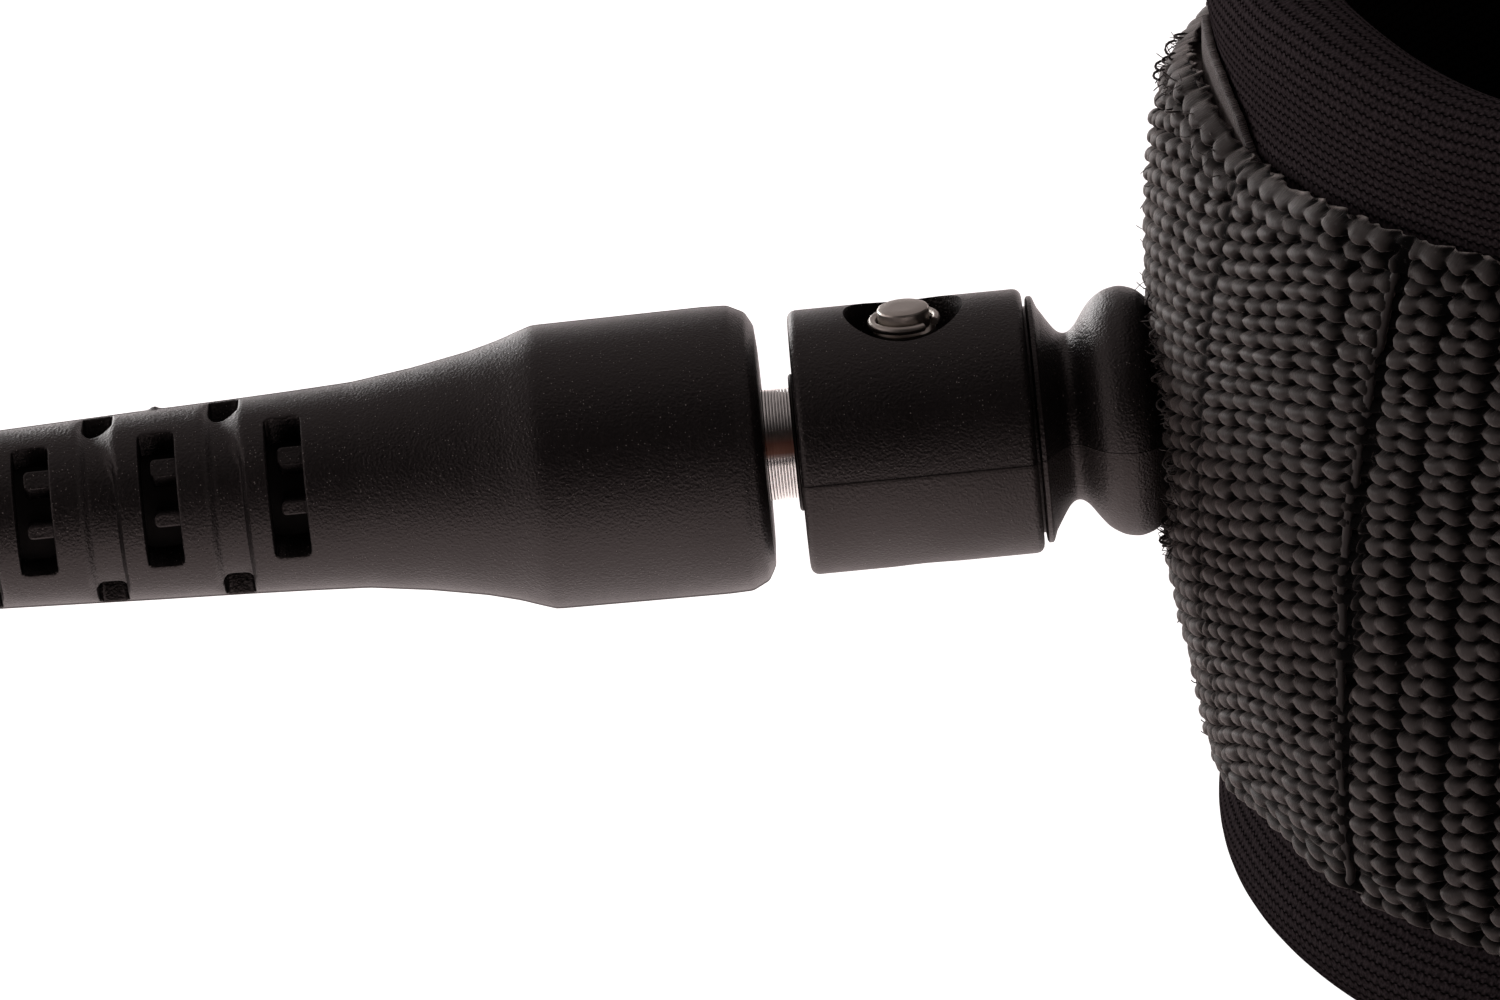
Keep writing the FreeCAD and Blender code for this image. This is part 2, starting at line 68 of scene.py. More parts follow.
def makeCamera(view):
    up, side, roll = (math.radians(view[k]) for k in ("elevation", "yaw", "roll"))
    ahead = -Vector((math.sin(side) * math.cos(up), -math.cos(side) * math.cos(up), math.sin(up)))
    level = ahead.cross(Vector((0, 0, 1))).normalized()
    above = level.cross(ahead)
    right = math.cos(roll) * level - math.sin(roll) * above
    top = math.sin(roll) * level + math.cos(roll) * above
    aside = (view["strapFacePixel"][0] - view["imageWidth"] / 2) / view["pixelsPerMm"]
    over = (view["imageHeight"] / 2 - view["strapFacePixel"][1]) / view["pixelsPerMm"]
    target = Vector(view["strapFace"]) - right * aside - top * over
    data = bpy.data.cameras.new("photoCamera")
    data.sensor_width = view["sensor"]
    data.lens = view["pixelsPerMm"] * view["distance"] * view["sensor"] / view["imageWidth"]
    data.clip_start, data.clip_end = view["clip"]
    camera = bpy.data.objects.new("photoCamera", data)
    scene.collection.objects.link(camera)
    place = Matrix.Translation((target - ahead * view["distance"]) * mm)
    camera.matrix_world = place @ Matrix((right, top, -ahead)).transposed().to_4x4()
    scene.camera = camera


makeCamera(photoView)
print("camera placed")


# ---- mesh helpers; all of them take mm


def meshPiece(name, points, faces, uvs=None, sharpOver=None):
    data = bpy.data.meshes.new(name)
    data.from_pydata((np.asarray(points, float) * mm).tolist(), [], faces)
    data.update()
    if uvs is not None:
        layer = data.uv_layers.new(name="strapLength")
        loopPoints = np.empty(len(data.loops), int)
        data.loops.foreach_get("vertex_index", loopPoints)
        layer.data.foreach_set("uv", (np.asarray(uvs, float)[loopPoints] * mm).ravel())
    piece = bpy.data.objects.new(name, data)
    scene.collection.objects.link(piece)
    shadeSmooth(piece, sharpOver)
    return piece


def shadeSmooth(piece, sharpOver=None):
    piece.data.polygons.foreach_set("use_smooth", [True] * len(piece.data.polygons))
    if sharpOver is not None:
        piece.data.set_sharp_from_angle(angle=math.radians(sharpOver))


def gridFaces(rows, columns, closed=True, first=0):
    i = np.arange(rows - 1)[:, None]
    j = np.arange(columns if closed else columns - 1)[None, :]
    after = (j + 1) % columns
    corners = [i * columns + j, (i + 1) * columns + j, (i + 1) * columns + after, i * columns + after]
    return (np.stack([c.ravel() for c in np.broadcast_arrays(*corners)], axis=1) + first).tolist()


def gridPiece(name, grid, closed=True, caps=True, uvs=None, sharpOver=None, flip=False):
    # rows of points; closed joins each row's end to its start, caps fill the first and last row
    rows, columns = grid.shape[:2]
    faces = gridFaces(rows, columns, closed)
    if caps:
        faces.append(list(range(columns))[::-1])
        faces.append(list(range((rows - 1) * columns, rows * columns)))
    if flip:
        faces = [face[::-1] for face in faces]
    flatUvs = None if uvs is None else uvs.reshape(-1, 2)
    return meshPiece(name, grid.reshape(-1, 3), faces, flatUvs, sharpOver)


def stacked(*parts):
    return np.stack(np.broadcast_arrays(*parts), axis=-1)


def fullTurn(sides):
    return np.linspace(0, 2 * math.pi, sides, endpoint=False)


def compass(degrees):
    # the way out from an upright axis, and the way round it
    turn = math.radians(degrees)
    return np.array([math.cos(turn), math.sin(turn), 0]), np.array([-math.sin(turn), math.cos(turn), 0])


def turnedGrid(x, radius, angle, move=(0, 0, 0)):
    # points round the leash's axis, angle 0 at the viewer and a quarter turn up
    return stacked(x, -radius * np.cos(angle), radius * np.sin(angle)) + move


def uprightGrid(radius, angle, z, x=0.0):
    # points round an upright axis
    return stacked(x + radius * np.cos(angle), radius * np.sin(angle), z)


def turnedPiece(name, profile, angle, move=(0, 0, 0), sharpOver=None):
    # an outline of (x, r) turned round the leash's axis
    x, radius = np.asarray(profile, float).T[..., None]
    return gridPiece(name, turnedGrid(x, radius, angle, move), sharpOver=sharpOver)


def markRaised(piece, values=None):
    # 1 on the top of a bead or thread, 0 down in a pit; the finishes darken with it, as painted shade in the low
    # places
    if values is None:
        values = np.ones(len(piece.data.vertices))
    layer = piece.data.attributes.new("raised", "FLOAT", "POINT")
    layer.data.foreach_set("value", np.asarray(values, float).ravel())
    return piece


def moved(piece, move):
    piece.location = Vector(move) * mm
    return piece


def joinPieces(name, pieces, move=(0, 0, 0)):
    bpy.ops.object.select_all(action="DESELECT")
    for piece in pieces:
        piece.select_set(True)
    bpy.context.view_layer.objects.active = pieces[0]
    bpy.ops.object.join()
    pieces[0].name = name
    return moved(pieces[0], move)


def applyModifier(piece, kind, **fields):
    modifier = piece.modifiers.new(kind, kind)
    for key, value in fields.items():
        setattr(modifier, key, value)
    bpy.context.view_layer.objects.active = piece
    bpy.ops.object.modifier_apply(modifier=modifier.name)


def smoothStep(low, high, value):
    t = np.clip((value - low) / (high - low), 0, 1)
    return t * t * (3 - 2 * t)


def along(table, value):
    places, amounts = zip(*table)
    return np.interp(value, places, amounts)


def lengthsAlong(line):
    return np.r_[0, np.cumsum(np.linalg.norm(np.diff(line, axis=0), axis=1))]


def sampled(line, lengths, at):
    return np.stack([np.interp(at, lengths, column) for column in line.T], axis=1)


def headings(line):
    ahead = np.gradient(line, axis=0)
    return ahead / np.linalg.norm(ahead, axis=1)[:, None]


def roundedProfile(corners, step, radius):
    # (x, r) corners as an even line, its corners softened over radius
    corners = np.asarray(corners, float)
    lengths = lengthsAlong(corners)
    line = sampled(corners, lengths, np.arange(0, lengths[-1] + step / 2, step))
    reach = max(1, int(radius / step))
    kernel = np.hanning(2 * reach + 3)[1:-1]
    kernel /= kernel.sum()
    padded = np.pad(line, ((reach, reach), (0, 0)), mode="reflect", reflect_type="odd")
    return np.stack([np.convolve(column, kernel, mode="valid") for column in padded.T], axis=1)


def enter(piece, body, slot, *nodes):
    # the body that a piece rides on (None: it is left unattached), its slot, which is not used, and the solids that
    # it stands for
    if body:
        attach(piece, body)
    if nodes:
        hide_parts(*nodes)
    return piece


# ---- cord first: from the boot's tip to the floor, 5 1/2 turns, and on to the board end

cord = {
    "diameter": 6.4,
    "tip": (-111.0, 0.0, 0.0),
    "coilCentre": (-181.0, -30.0),
    "outerTurn": 43.4,
    "turns": 5.5,
    "inwardAt": (0.9, 1.9),
    "climbAt": 2.6,
    "outwardAt": (3.52, 4.52),
    "pointsPerTurn": 16,
    "floor": -25.0,
    "farTip": (-154.0, -74.4, -17.7),
}


def cordRoute(c):
    d = c["diameter"]
    x, y, z = c["tip"]
    route = [(x, y, z), (x - 12.0, y, z), (x - 25.0, 0.8, -3.2), (x - 39.0, 4.4, -10.8), (x - 55.0, 10.8, -19.4)]
    outward = 1 / math.cos(math.pi / c["pointsPerTurn"])  # the spline runs inside its control points
    for i in range(round(c["turns"] * c["pointsPerTurn"]) + 1):
        turn = i / c["pointsPerTurn"]
        angle = math.pi / 2 + 2 * math.pi * turn
        column = sum(smoothStep(t, t + 0.2, turn) for t in c["inwardAt"])
        column -= sum(smoothStep(t, t + 0.2, turn) for t in c["outwardAt"])
        radius = (c["outerTurn"] - d * column) * outward
        row = smoothStep(c["climbAt"], c["climbAt"] + 0.3, turn)
        across, ahead = c["coilCentre"]
        route.append((
            across + radius * math.cos(angle),
            ahead + radius * math.sin(angle),
            c["floor"] + d / 2 + d * row,
        ))
    x, y, z = c["farTip"]
    return route + [(x - 18.0, y + 0.9, z + 1.8), (x - 9.0, y, z), (x, y, z)]


def makeCord(c):
    curve = bpy.data.curves.new("leashCord", "CURVE")
    curve.dimensions = "3D"
    route = cordRoute(c)
    spline = curve.splines.new("NURBS")
    spline.points.add(len(route) - 1)
    for point, place in zip(spline.points, route):
        point.co = (*(v * mm for v in place), 1)
        point.radius = c["diameter"] / 2 * mm
    spline.order_u = 3
    spline.use_endpoint_u = True
    spline.resolution_u = 8
    curve.bevel_depth = 1.0
    curve.bevel_resolution = 6
    curve.use_fill_caps = True
    piece = bpy.data.objects.new("leashCord", curve)
    scene.collection.objects.link(piece)
    return enter(piece, "cuff", "cord", "free_cord", "tail_cord", "cord_coil")


leashCord = makeCord(cord)
print("cord laid,", len(leashCord.data.splines[0].points), "points")


# ---- shader helpers; values take part in sums, which become math nodes


def sumOf(operation, swapped=False):
    return lambda one, other: calc(operation, *((other, one) if swapped else (one, other)))


class Value:
    def __init__(self, socket):
        self.socket = socket

    __add__ = __radd__ = sumOf("ADD")
    __mul__ = __rmul__ = sumOf("MULTIPLY")
    __sub__, __rsub__ = sumOf("SUBTRACT"), sumOf("SUBTRACT", True)
    __truediv__, __rtruediv__ = sumOf("DIVIDE"), sumOf("DIVIDE", True)
    __pow__ = sumOf("POWER")


class Outputs:
    def __init__(self, node):
        self.node = node

    def __getitem__(self, label):
        return Value(self.node.outputs[label])


def feed(node, inputs):
    # links each input to a value, or sets it to a constant
    for label, source in inputs.items():
        if isinstance(source, Value):
            node.id_data.links.new(source.socket, node.inputs[label])
        else:
            node.inputs[label].default_value = source


def add(tree, kind, inputs=None, **fields):
    node = tree.nodes.new("ShaderNode" + kind)
    for key, value in fields.items():
        setattr(node, key, value)
    feed(node, inputs or {})
    return Outputs(node)


def calc(operation, *sources, clamp=False):
    tree = next(s.socket.id_data for s in sources if isinstance(s, Value))
    return add(tree, "Math", dict(enumerate(sources)), operation=operation, use_clamp=clamp)[0]


def ramp(source, low, high, toLow=0.0, toHigh=1.0):
    ends = {"From Min": low, "From Max": high, "To Min": toLow, "To Max": toHigh}
    return add(source.socket.id_data, "MapRange", {"Value": source, **ends})[0]


def noise(place, scale, detail, roughness=0.5):
    inputs = {"Vector": place, "Scale": scale, "Detail": detail, "Roughness": roughness}
    return add(place.socket.id_data, "TexNoise", inputs)["Fac"]


def objectPlace(tree):
    return add(tree, "TexCoord")["Object"]


def lengthParts(tree):
    # how far along a strip, in X, and across it, in Y
    return add(tree, "SeparateXYZ", {"Vector": add(tree, "UVMap", uv_map="strapLength")["UV"]})


def raisedShare(tree):
    return add(tree, "Attribute", attribute_name="raised")["Fac"]


# ---- shared effects, as node groups


def nodeGroup(name, inputs, outputs):
    tree = bpy.data.node_groups.new(name, "ShaderNodeTree")
    for label, value in inputs.items():
        tree.interface.new_socket(label, in_out="INPUT", socket_type="NodeSocketFloat").default_value = value
    for label in outputs:
        tree.interface.new_socket(label, in_out="OUTPUT", socket_type="NodeSocketFloat")
    return tree, Outputs(tree.nodes.new("NodeGroupInput")), tree.nodes.new("NodeGroupOutput")


def mouldGrainGroup():
    # fine pitted skin of moulded rubber, with a few pale specks painted in as glints of light on the grain
    inputs = {"Grain Size": 0.00011, "Specks": 0.5, "Smudge": 0.5}
    tree, given, out = nodeGroup("mouldGrain", inputs, ("Tone", "Speck", "Roughness", "Height"))
    place = objectPlace(tree)
    scale = 1.0 / given["Grain Size"]
    pits = add(tree, "TexVoronoi", {"Vector": place, "Scale": scale * 0.7})["Distance"]
    sparse = add(tree, "TexVoronoi", {"Vector": place, "Scale": scale * 0.75})
    picked = add(tree, "SeparateColor", {"Color": sparse["Color"]})
    grain = calc("SUBTRACT", 1.0, sparse["Distance"] / (picked["Green"] * 0.15 + 0.1), clamp=True)
    smudge = ramp(noise(place, 130.0, 5.0, 0.62), 0.3, 0.72)
    chosen = calc("LESS_THAN", picked["Red"], given["Specks"] * (smudge * 0.7 + 0.1))
    # painted glints: pale, raised specks that stand in for light caught by the grain
    glint = grain ** 0.5 * chosen
    feed(out, {
        "Tone": smudge * (given["Smudge"] * 0.5) + 0.8,
        "Speck": glint,
        "Roughness": smudge * 0.14 + 0.36,
        "Height": noise(place, scale, 2.0) + pits * 0.6 + glint * 0.7,
    })
    return tree


def yarnGroup():
    # fine filaments that run along the strap, and dust and lint that lie on it
    tree, given, out = nodeGroup("yarnFilaments", {"Filament": 0.00007, "Lint": 0.3}, ("Tone", "Lint", "Height"))
    place, length = objectPlace(tree), lengthParts(tree)
    lean = length["X"] + length["Y"] * 0.35
    stretched = add(tree, "CombineXYZ", {"X": lean * 2.2, "Y": length["Y"] * 0.5})[0]
    strands = noise(stretched, 0.5 / given["Filament"], 2.0)
    feed(out, {
        "Tone": noise(place, 240.0, 4.0) * 0.3 + 0.72 + strands * 0.3,
        "Lint": ramp(noise(place, 2600.0, 3.0), 0.64, 0.8) * given["Lint"],
        "Height": strands,
    })
    return tree


def knitGroup():
    # ribs of a knitted face along the pad, each a row of small stitches
    inputs = {"Rib": 0.00052, "Stitch": 0.00056, "Wander": 0.4}
    tree, given, out = nodeGroup("knitRibs", inputs, ("Tone", "Height"))
    place, length = objectPlace(tree), lengthParts(tree)
    across = length["Y"] / given["Rib"] + noise(place, 300.0, 1.0) * given["Wander"]
    inRow = calc("FRACT", across) - 0.5
    ahead = length["X"] / given["Stitch"] + calc("FLOOR", across) * 0.5
    inStitch = calc("FRACT", ahead) - 0.5
    dash = calc("COSINE", inStitch * 6.2832) * 0.56 + 0.54
    loop = calc("SUBTRACT", 1.0, calc("ABSOLUTE", inRow * 2.0) ** 2.2 * dash, clamp=True)
    fuzz = noise(place, 7000.0, 2.0)
    feed(out, {
        # painted shade: the tone falls nearly to black in the gaps between ribs and between stitches
        "Tone": (loop ** 1.6 * 1.3 + 0.04) * (fuzz * 2.5 - 0.15),
        "Height": loop ** 0.6 + fuzz * 0.25,
    })
    return tree


mouldGrain, yarnFilaments, knitRibs = mouldGrainGroup(), yarnGroup(), knitGroup()
print("shared effects built")


# ---- finishes


def finishNodes(name, **principled):
    material = bpy.data.materials.new(name)
    material.use_nodes = True
    shader = material.node_tree.nodes["Principled BSDF"]
    feed(shader, {key.replace("_", " "): value for key, value in principled.items()})
    return material, material.node_tree, shader


def place(tree, group, **inputs):
    node = tree.nodes.new("ShaderNodeGroup")
    node.node_tree = group
    feed(node, inputs)
    return Outputs(node)


def finish(nodes, colour, tone, rough, height, depth, over=None, mask=None):
    # the colour times a tone, another colour laid over by a mask, then roughness and relief
    material, tree, shader = nodes
    base = add(tree, "VectorMath", {0: colour, "Scale": tone}, operation="SCALE")[0]
    if over is not None:
        base = add(tree, "Mix", {"Factor": mask, "A": base, "B": (*over, 1)}, data_type="RGBA")["Result"]
    relief = add(tree, "Bump", {"Height": height, "Distance": depth, "Strength": 1.0})["Normal"]
    feed(shader, {"Base Color": base, "Roughness": rough, "Normal": relief})
    return material


def mouldedFinish(name, colour, glints, depth, rough, shadedOpenings=False):
    nodes = finishNodes(name, Specular_IOR_Level=0.5, Specular_Tint=(1, 0.9, 0.88, 1))
    grain = place(nodes[1], mouldGrain, Specks=glints)
    tone = grain["Tone"]
    if shadedOpenings:  # painted shade: the walls and floors of the openings and the roots of the tabs fall off nearly to black
        tone = tone * ramp(raisedShare(nodes[1]), 0.3, 1.0, 0.02, 1.0)
    rough = grain["Roughness"] + rough
    # painted glints: a pale colour laid over the specks
    return finish(nodes, colour, tone, rough, grain["Height"], depth, (0.4, 0.37, 0.35), grain["Speck"])


def wovenFinish(name, colour, lint, depth):
    nodes = finishNodes(
        name, Specular_IOR_Level=0.22, Sheen_Weight=0.6, Sheen_Roughness=0.3, Sheen_Tint=(1, 0.88, 0.83, 1))
    yarn = place(nodes[1], yarnFilaments, Lint=lint)
    raised = raisedShare(nodes[1])
    # painted shade: the colour falls nearly to black down in the pits, in the seams and on the strap's back
    tone = yarn["Tone"] * ramp(raised, 0.13, 0.85, 0.006, 1.0)
    rough = ramp(raised, 0.3, 0.8, 1.0, 0.58)
    return finish(nodes, colour, tone, rough, yarn["Height"], depth, (0.3, 0.29, 0.28), yarn["Lint"])


def knitFinish(name, colour, depth):
    nodes = finishNodes(name, Specular_IOR_Level=0.0)
    knit = place(nodes[1], knitRibs)
    return finish(nodes, colour, knit["Tone"], 0.72, knit["Height"], depth)


def steelFinish(name, colour, rough, lineScale, stain=0.0):
    nodes = finishNodes(name, Metallic=1.0)
    where = objectPlace(nodes[1])
    lines = noise(where, lineScale, 5.0, 0.7)
    tone = noise(where, 700.0, 4.0) * 0.4 + 0.75
    # a brown stain runs round just above the axis
    height = add(nodes[1], "SeparateXYZ", {"Vector": where})["Z"]
    band = ramp(height, 0.0002, 0.0005, 0.0, stain) * ramp(height, 0.001, 0.0017, 1.0, 0.0)
    rough = lines * 0.16 + band * 0.4 + rough
    return finish(nodes, colour, tone, rough, lines, 0.000008, (0.56, 0.25, 0.17), band)


def pileFinish(name, colour, size, depth):
    nodes = finishNodes(name, Specular_IOR_Level=0.3, Sheen_Weight=0.35, Sheen_Roughness=0.5)
    where = objectPlace(nodes[1])
    loops = add(nodes[1], "TexVoronoi", {"Vector": where, "Scale": 1 / size})["Distance"]
    tone = loops * 1.1 + noise(where, 3.2 / size, 4.0)
    return finish(nodes, colour, tone, 0.8, tone, depth)


finishes = {
    "boot": mouldedFinish("bootRubber", (0.0075, 0.0062, 0.0064), 0.8, 0.000034, -0.02, True),
    "moulded": mouldedFinish("swivelPlastic", (0.0065, 0.0053, 0.0054), 0.6, 0.000036, -0.02),
    # painted light: a paler copy of the moulded finish for the lower half, lit from the floor below
    "lower": mouldedFinish("swivelPlasticLitBelow", (0.046, 0.0405, 0.039), 0.25, 0.00004, 0.08),
    "cord": mouldedFinish("cordUrethane", (0.012, 0.012, 0.013), 0.05, 0.000004, -0.2),
    # painted shade: the cord inside the boot is a near-black copy of the cord's urethane
    "core": mouldedFinish("cordShadedInBoot", (0.001, 0.001, 0.001), 0.0, 0.000004, 0.5),
    "washer": mouldedFinish("darkWasher", (0.02, 0.016, 0.015), 0.1, 0.00001, 0.1),
    "inner": mouldedFinish("innerPlastic", (0.1, 0.1, 0.1), 0.05, 0.000008, 0.0),
    "webbing": wovenFinish("nylonStrap", (0.062, 0.054, 0.0505), 0.25, 0.00003),
    "thread": wovenFinish("sewingThread", (0.04, 0.0355, 0.034), 0.1, 0.00003),
    "edge": wovenFinish("rawEdge", (0.075, 0.066, 0.066), 0.7, 0.00018),
    "neoprene": knitFinish("knitNeoprene", (0.027, 0.0219, 0.0236), 0.00024),
    # painted shade: a near-black copy of the knit for the pad's inner face
    "lining": knitFinish("padInnerShade", (0.003, 0.0025, 0.0025), 0.00006),
    "loop": pileFinish("loopPile", (0.024, 0.024, 0.026), 0.00045, 0.00022),
    "hook": pileFinish("hookTape", (0.03, 0.03, 0.032), 0.0007, 0.0003),
    "pin": steelFinish("pinSteel", (0.48, 0.44, 0.4), 0.3, 5000.0),
    "shaft": steelFinish("turnedSteel", (0.95, 0.93, 0.9), 0.12, 3000.0, 0.92),
    "innerSteel": steelFinish("innerSteel", (0.55, 0.55, 0.55), 0.3, 3000.0),
}


def dress(piece, finish):
    piece.data.materials.clear()
    piece.data.materials.append(finishes[finish])
    return piece


dress(leashCord, "cord")
print("finishes made,", len(finishes))


# ---- boot: places x in mm along the leash, angle 0 looks at the viewer, 90 is up

boot = {
    "outline": (
        (-64.0, 5.0), (-64.06, 5.9), (-64.45, 6.6), (-65.3, 7.02), (-66.5, 7.06), (-75.0, 6.98),
        (-75.9, 6.68), (-76.7, 6.4), (-78.3, 5.98), (-81.1, 5.46), (-84.1, 5.05), (-87.1, 4.9), (-90.0, 4.78),
        (-94.5, 4.63), (-102.0, 4.34), (-110.5, 4.05), (-110.95, 3.8), (-111.0, 3.45),
    ),
    "softness": 0.2,
    "start": -64.0,
    "end": -111.0,
    "mouthEnd": -65.75,
    "mouthRadius": 3.05,
    "windows": (-87.5, -93.75, -100.0, -106.25),
    "windowWidth": 1.8,
    "windowRadius": 4.7,
    "windowTurns": (0, 180),
    "windowHalfAngle": 45.0,
    "windowCorner": 0.38,
    "windowTurn": 24.0,
    "edgeRadius": 0.12,
    "grooves": (-90.42, -96.67, -102.92),
    "grooveWidth": 2.0,
    "grooveDepth": 0.52,
    "grooveHalfAngle": 82.0,
    "grooveFade": 20,
    "leftWall": 0.6,
    "rightWall": 0.3,
    "topAngle": 95.0,  # round here the right wall of a groove is wider
    "topReach": (25, 60),
    "topWall": 0.9,
    "slotWidth": 1.5,
    "slotRadius": 4.2,
    "slotHalfAngle": 11.5,
    "slotTurns": (71.0, -77.0, 251.0, 103.0),
    "wallEnd": 3.0,
    "tabs": ((9.6, 0.72), (44.4, 0.98)),
    "tabLength": 1.25,
    "tabRoot": 0.5,
    "tabCorner": 0.24,
    "tabLayers": ((3.0, 0.0), (4.25, 0.0), (4.33, 0.03), (4.36, 0.1)),  # lift and inset
    "flashWidth": 0.09,
    "flashHeight": 0.06,
    "nub": {"x": -93.9, "angle": 112.0, "size": 0.24, "height": 0.2},
    "sharpOver": 38,
    "rows": ((-111.0, 0.17), (-86.2, 0.36), (-66.6, 0.11)),  # each from x on, and its step
    "edgeRows": (-0.13, -0.08, -0.03, 0.0, 0.03, 0.08, 0.13),
    "angleStep": 2.4,
    "edgeAngles": (-1.1, -0.4, 0.0, 0.4, 1.1),
    "flashAngles": (-2.2, -1.5, -1.0, -0.6, -0.3, 0.0, 0.3, 0.6, 1.0, 1.5, 2.2),
}


def spread(places, edges, offsets, clear):
    # the places given, with more of them close to each edge
    low, high = min(places), max(places)
    places = set(np.round(places, 4))
    for edge in edges:
        places = {p for p in places if abs(p - edge) > max(offsets) + clear}
        places |= {round(edge + o, 4) for o in offsets}
    return np.array(sorted(p for p in places if low <= p <= high))


def turnedFrom(angle, middle):
    return (angle - middle + 180) % 360 - 180


def openingGap(b, x, angle, rows, kind):
    # how far a place on the boot lies outside the nearest opening, negative inside it
    nearest = np.full(np.broadcast(x, angle).shape, 99.0)
    corner, radius = b["windowCorner"], b[kind + "Radius"]
    halfLength = math.radians(b[kind + "HalfAngle"]) * radius - corner
    for middle in b[rows]:
        for turn in b[kind + "Turns"]:
            ahead = np.abs(x - middle) - (b[kind + "Width"] / 2 - corner)
            around = np.abs(np.radians(turnedFrom(angle, b["windowTurn"] + turn))) * radius - halfLength
            outside = np.hypot(np.maximum(ahead, 0), np.maximum(around, 0))
            nearest = np.minimum(nearest, outside + np.minimum(np.maximum(ahead, around), 0) - corner)
    return nearest


def bootSurface(b, x, angle):
    outline = roundedProfile(b["outline"], 0.05, b["softness"])
    order = np.argsort(outline[:, 0])
    radius = np.interp(x, outline[order, 0], outline[order, 1])
    # grooves, which end before the mould's parting line, and the flash that stands on that line
    flash = np.minimum(*(np.abs(turnedFrom(angle, b["windowTurn"] + side)) for side in (90, -90)))
    grooved = smoothStep(90 - b["grooveHalfAngle"], 90 - b["grooveHalfAngle"] + b["grooveFade"], flash)
    eased = b["topWall"] * (1 - smoothStep(*b["topReach"], np.abs(turnedFrom(angle, b["topAngle"]))))
    for middle in b["grooves"]:
        low, high = middle - b["grooveWidth"] / 2, middle + b["grooveWidth"] / 2
        left = smoothStep(low - 0.15, low + b["leftWall"], x)
        right = 1 - smoothStep(high - b["rightWall"] - eased, high, x)
        radius = radius - b["grooveDepth"] * left * right * grooved
    radius = radius + b["flashHeight"] * np.exp(-((np.radians(flash) * radius / b["flashWidth"]) ** 2))
    nub = b["nub"]
    away = np.hypot(x - nub["x"], np.radians(turnedFrom(angle, nub["angle"])) * radius) / nub["size"]
    radius = radius + nub["height"] * np.exp(-(away ** 2))
    # windows and slots, with a rounded edge
    gap = np.minimum(openingGap(b, x, angle, "windows", "window"), openingGap(b, x, angle, "grooves", "slot"))
    edge = b["edgeRadius"]
    roundOff = edge - np.sqrt(np.maximum(edge ** 2 - np.maximum(edge - gap, 0) ** 2, 0))
    radius = radius - np.where(gap < edge, roundOff, 0)
    return np.where(gap < 0, b["wallEnd"], radius)


def bootTab(b, x, angle, width):
    # a small block with a round nose, from the wall on the swivel's side
    half, corner = width / 2, b["tabCorner"]
    outline = [(b["tabRoot"], -half)]
    for side in (-1, 1):
        for t in np.radians((0, 30, 60, 90))[::-side]:
            nose = corner - b["tabLength"] - corner * math.sin(t)
            outline.append((nose, side * (half - corner + corner * math.cos(t))))
    outline = np.array(outline + [(b["tabRoot"], half)])
    lift, inset = np.array(b["tabLayers"]).T[..., None]
    ahead, aside = np.moveaxis(outline * (1 - inset[..., None] / half * np.array([0.3, 1.0])), -1, 0)
    turn = math.radians(angle)
    grid = stacked(
        x + b["windowWidth"] / 2 + ahead,
        aside * math.sin(turn) - lift * math.cos(turn),
        lift * math.sin(turn) + aside * math.cos(turn),
    )
    tab = gridPiece("bootTab", grid, sharpOver=50)
    # painted shade: the tab's root layer gets 0, so the boot's finish darkens it
    return markRaised(tab, np.repeat((0.0, 1.0, 1.0, 1.0), len(outline)))


def makeBoot(name, b, move, coarseness):
    edges, sides = [], []
    for rows, kind in (("windows", "window"), ("grooves", "slot")):
        edges += [m + s * b[kind + "Width"] / 2 for m in b[rows] for s in (-1, 1)]
        turns = [b["windowTurn"] + t for t in b[kind + "Turns"]]
        sides += [turnedFrom(t + s * b[kind + "HalfAngle"], 0) for t in turns for s in (-1, 1)]
    ends = [start for start, step in b["rows"][1:]] + [b["start"] + 1e-6]
    rows = [np.arange(start, end, step * coarseness) for (start, step), end in zip(b["rows"], ends)]
    ahead = spread(np.r_[(*rows, b["start"])], edges, b["edgeRows"], 0.05)
    around = np.arange(-180.0, 179.0, b["angleStep"] * coarseness)
    around = spread(around, sides, b["edgeAngles"], 0.6)
    if coarseness <= 1:
        flash = [turnedFrom(b["windowTurn"] + t, 0) for t in (90, 270)]
        around = spread(around, flash, b["flashAngles"], 0.3)
    tip, mouth = (np.full((1, len(around)), r) for r in (cord["diameter"] / 2 + 0.02, b["mouthRadius"]))
    radius = np.vstack([tip, bootSurface(b, ahead[:, None], around), mouth, mouth])
    x = np.r_[b["end"], ahead, b["start"], b["mouthEnd"]][:, None]
    surface = gridPiece(name, turnedGrid(x, radius, np.radians(around)), caps=False, sharpOver=b["sharpOver"])
    # painted shade: the floors and walls of the openings get 0, so the boot's finish darkens them
    parts = [markRaised(surface, (radius > b["wallEnd"] + 0.4).astype(float))]
    for x in b["windows"]:
        for side in b["windowTurns"]:
            parts += [bootTab(b, x, angle + side, width) for angle, width in b["tabs"]]
    piece = joinPieces(name, parts, move)
    piece.data.set_sharp_from_angle(angle=math.radians(b["sharpOver"]))
    return dress(piece, "boot")


# ---- swivel and horn

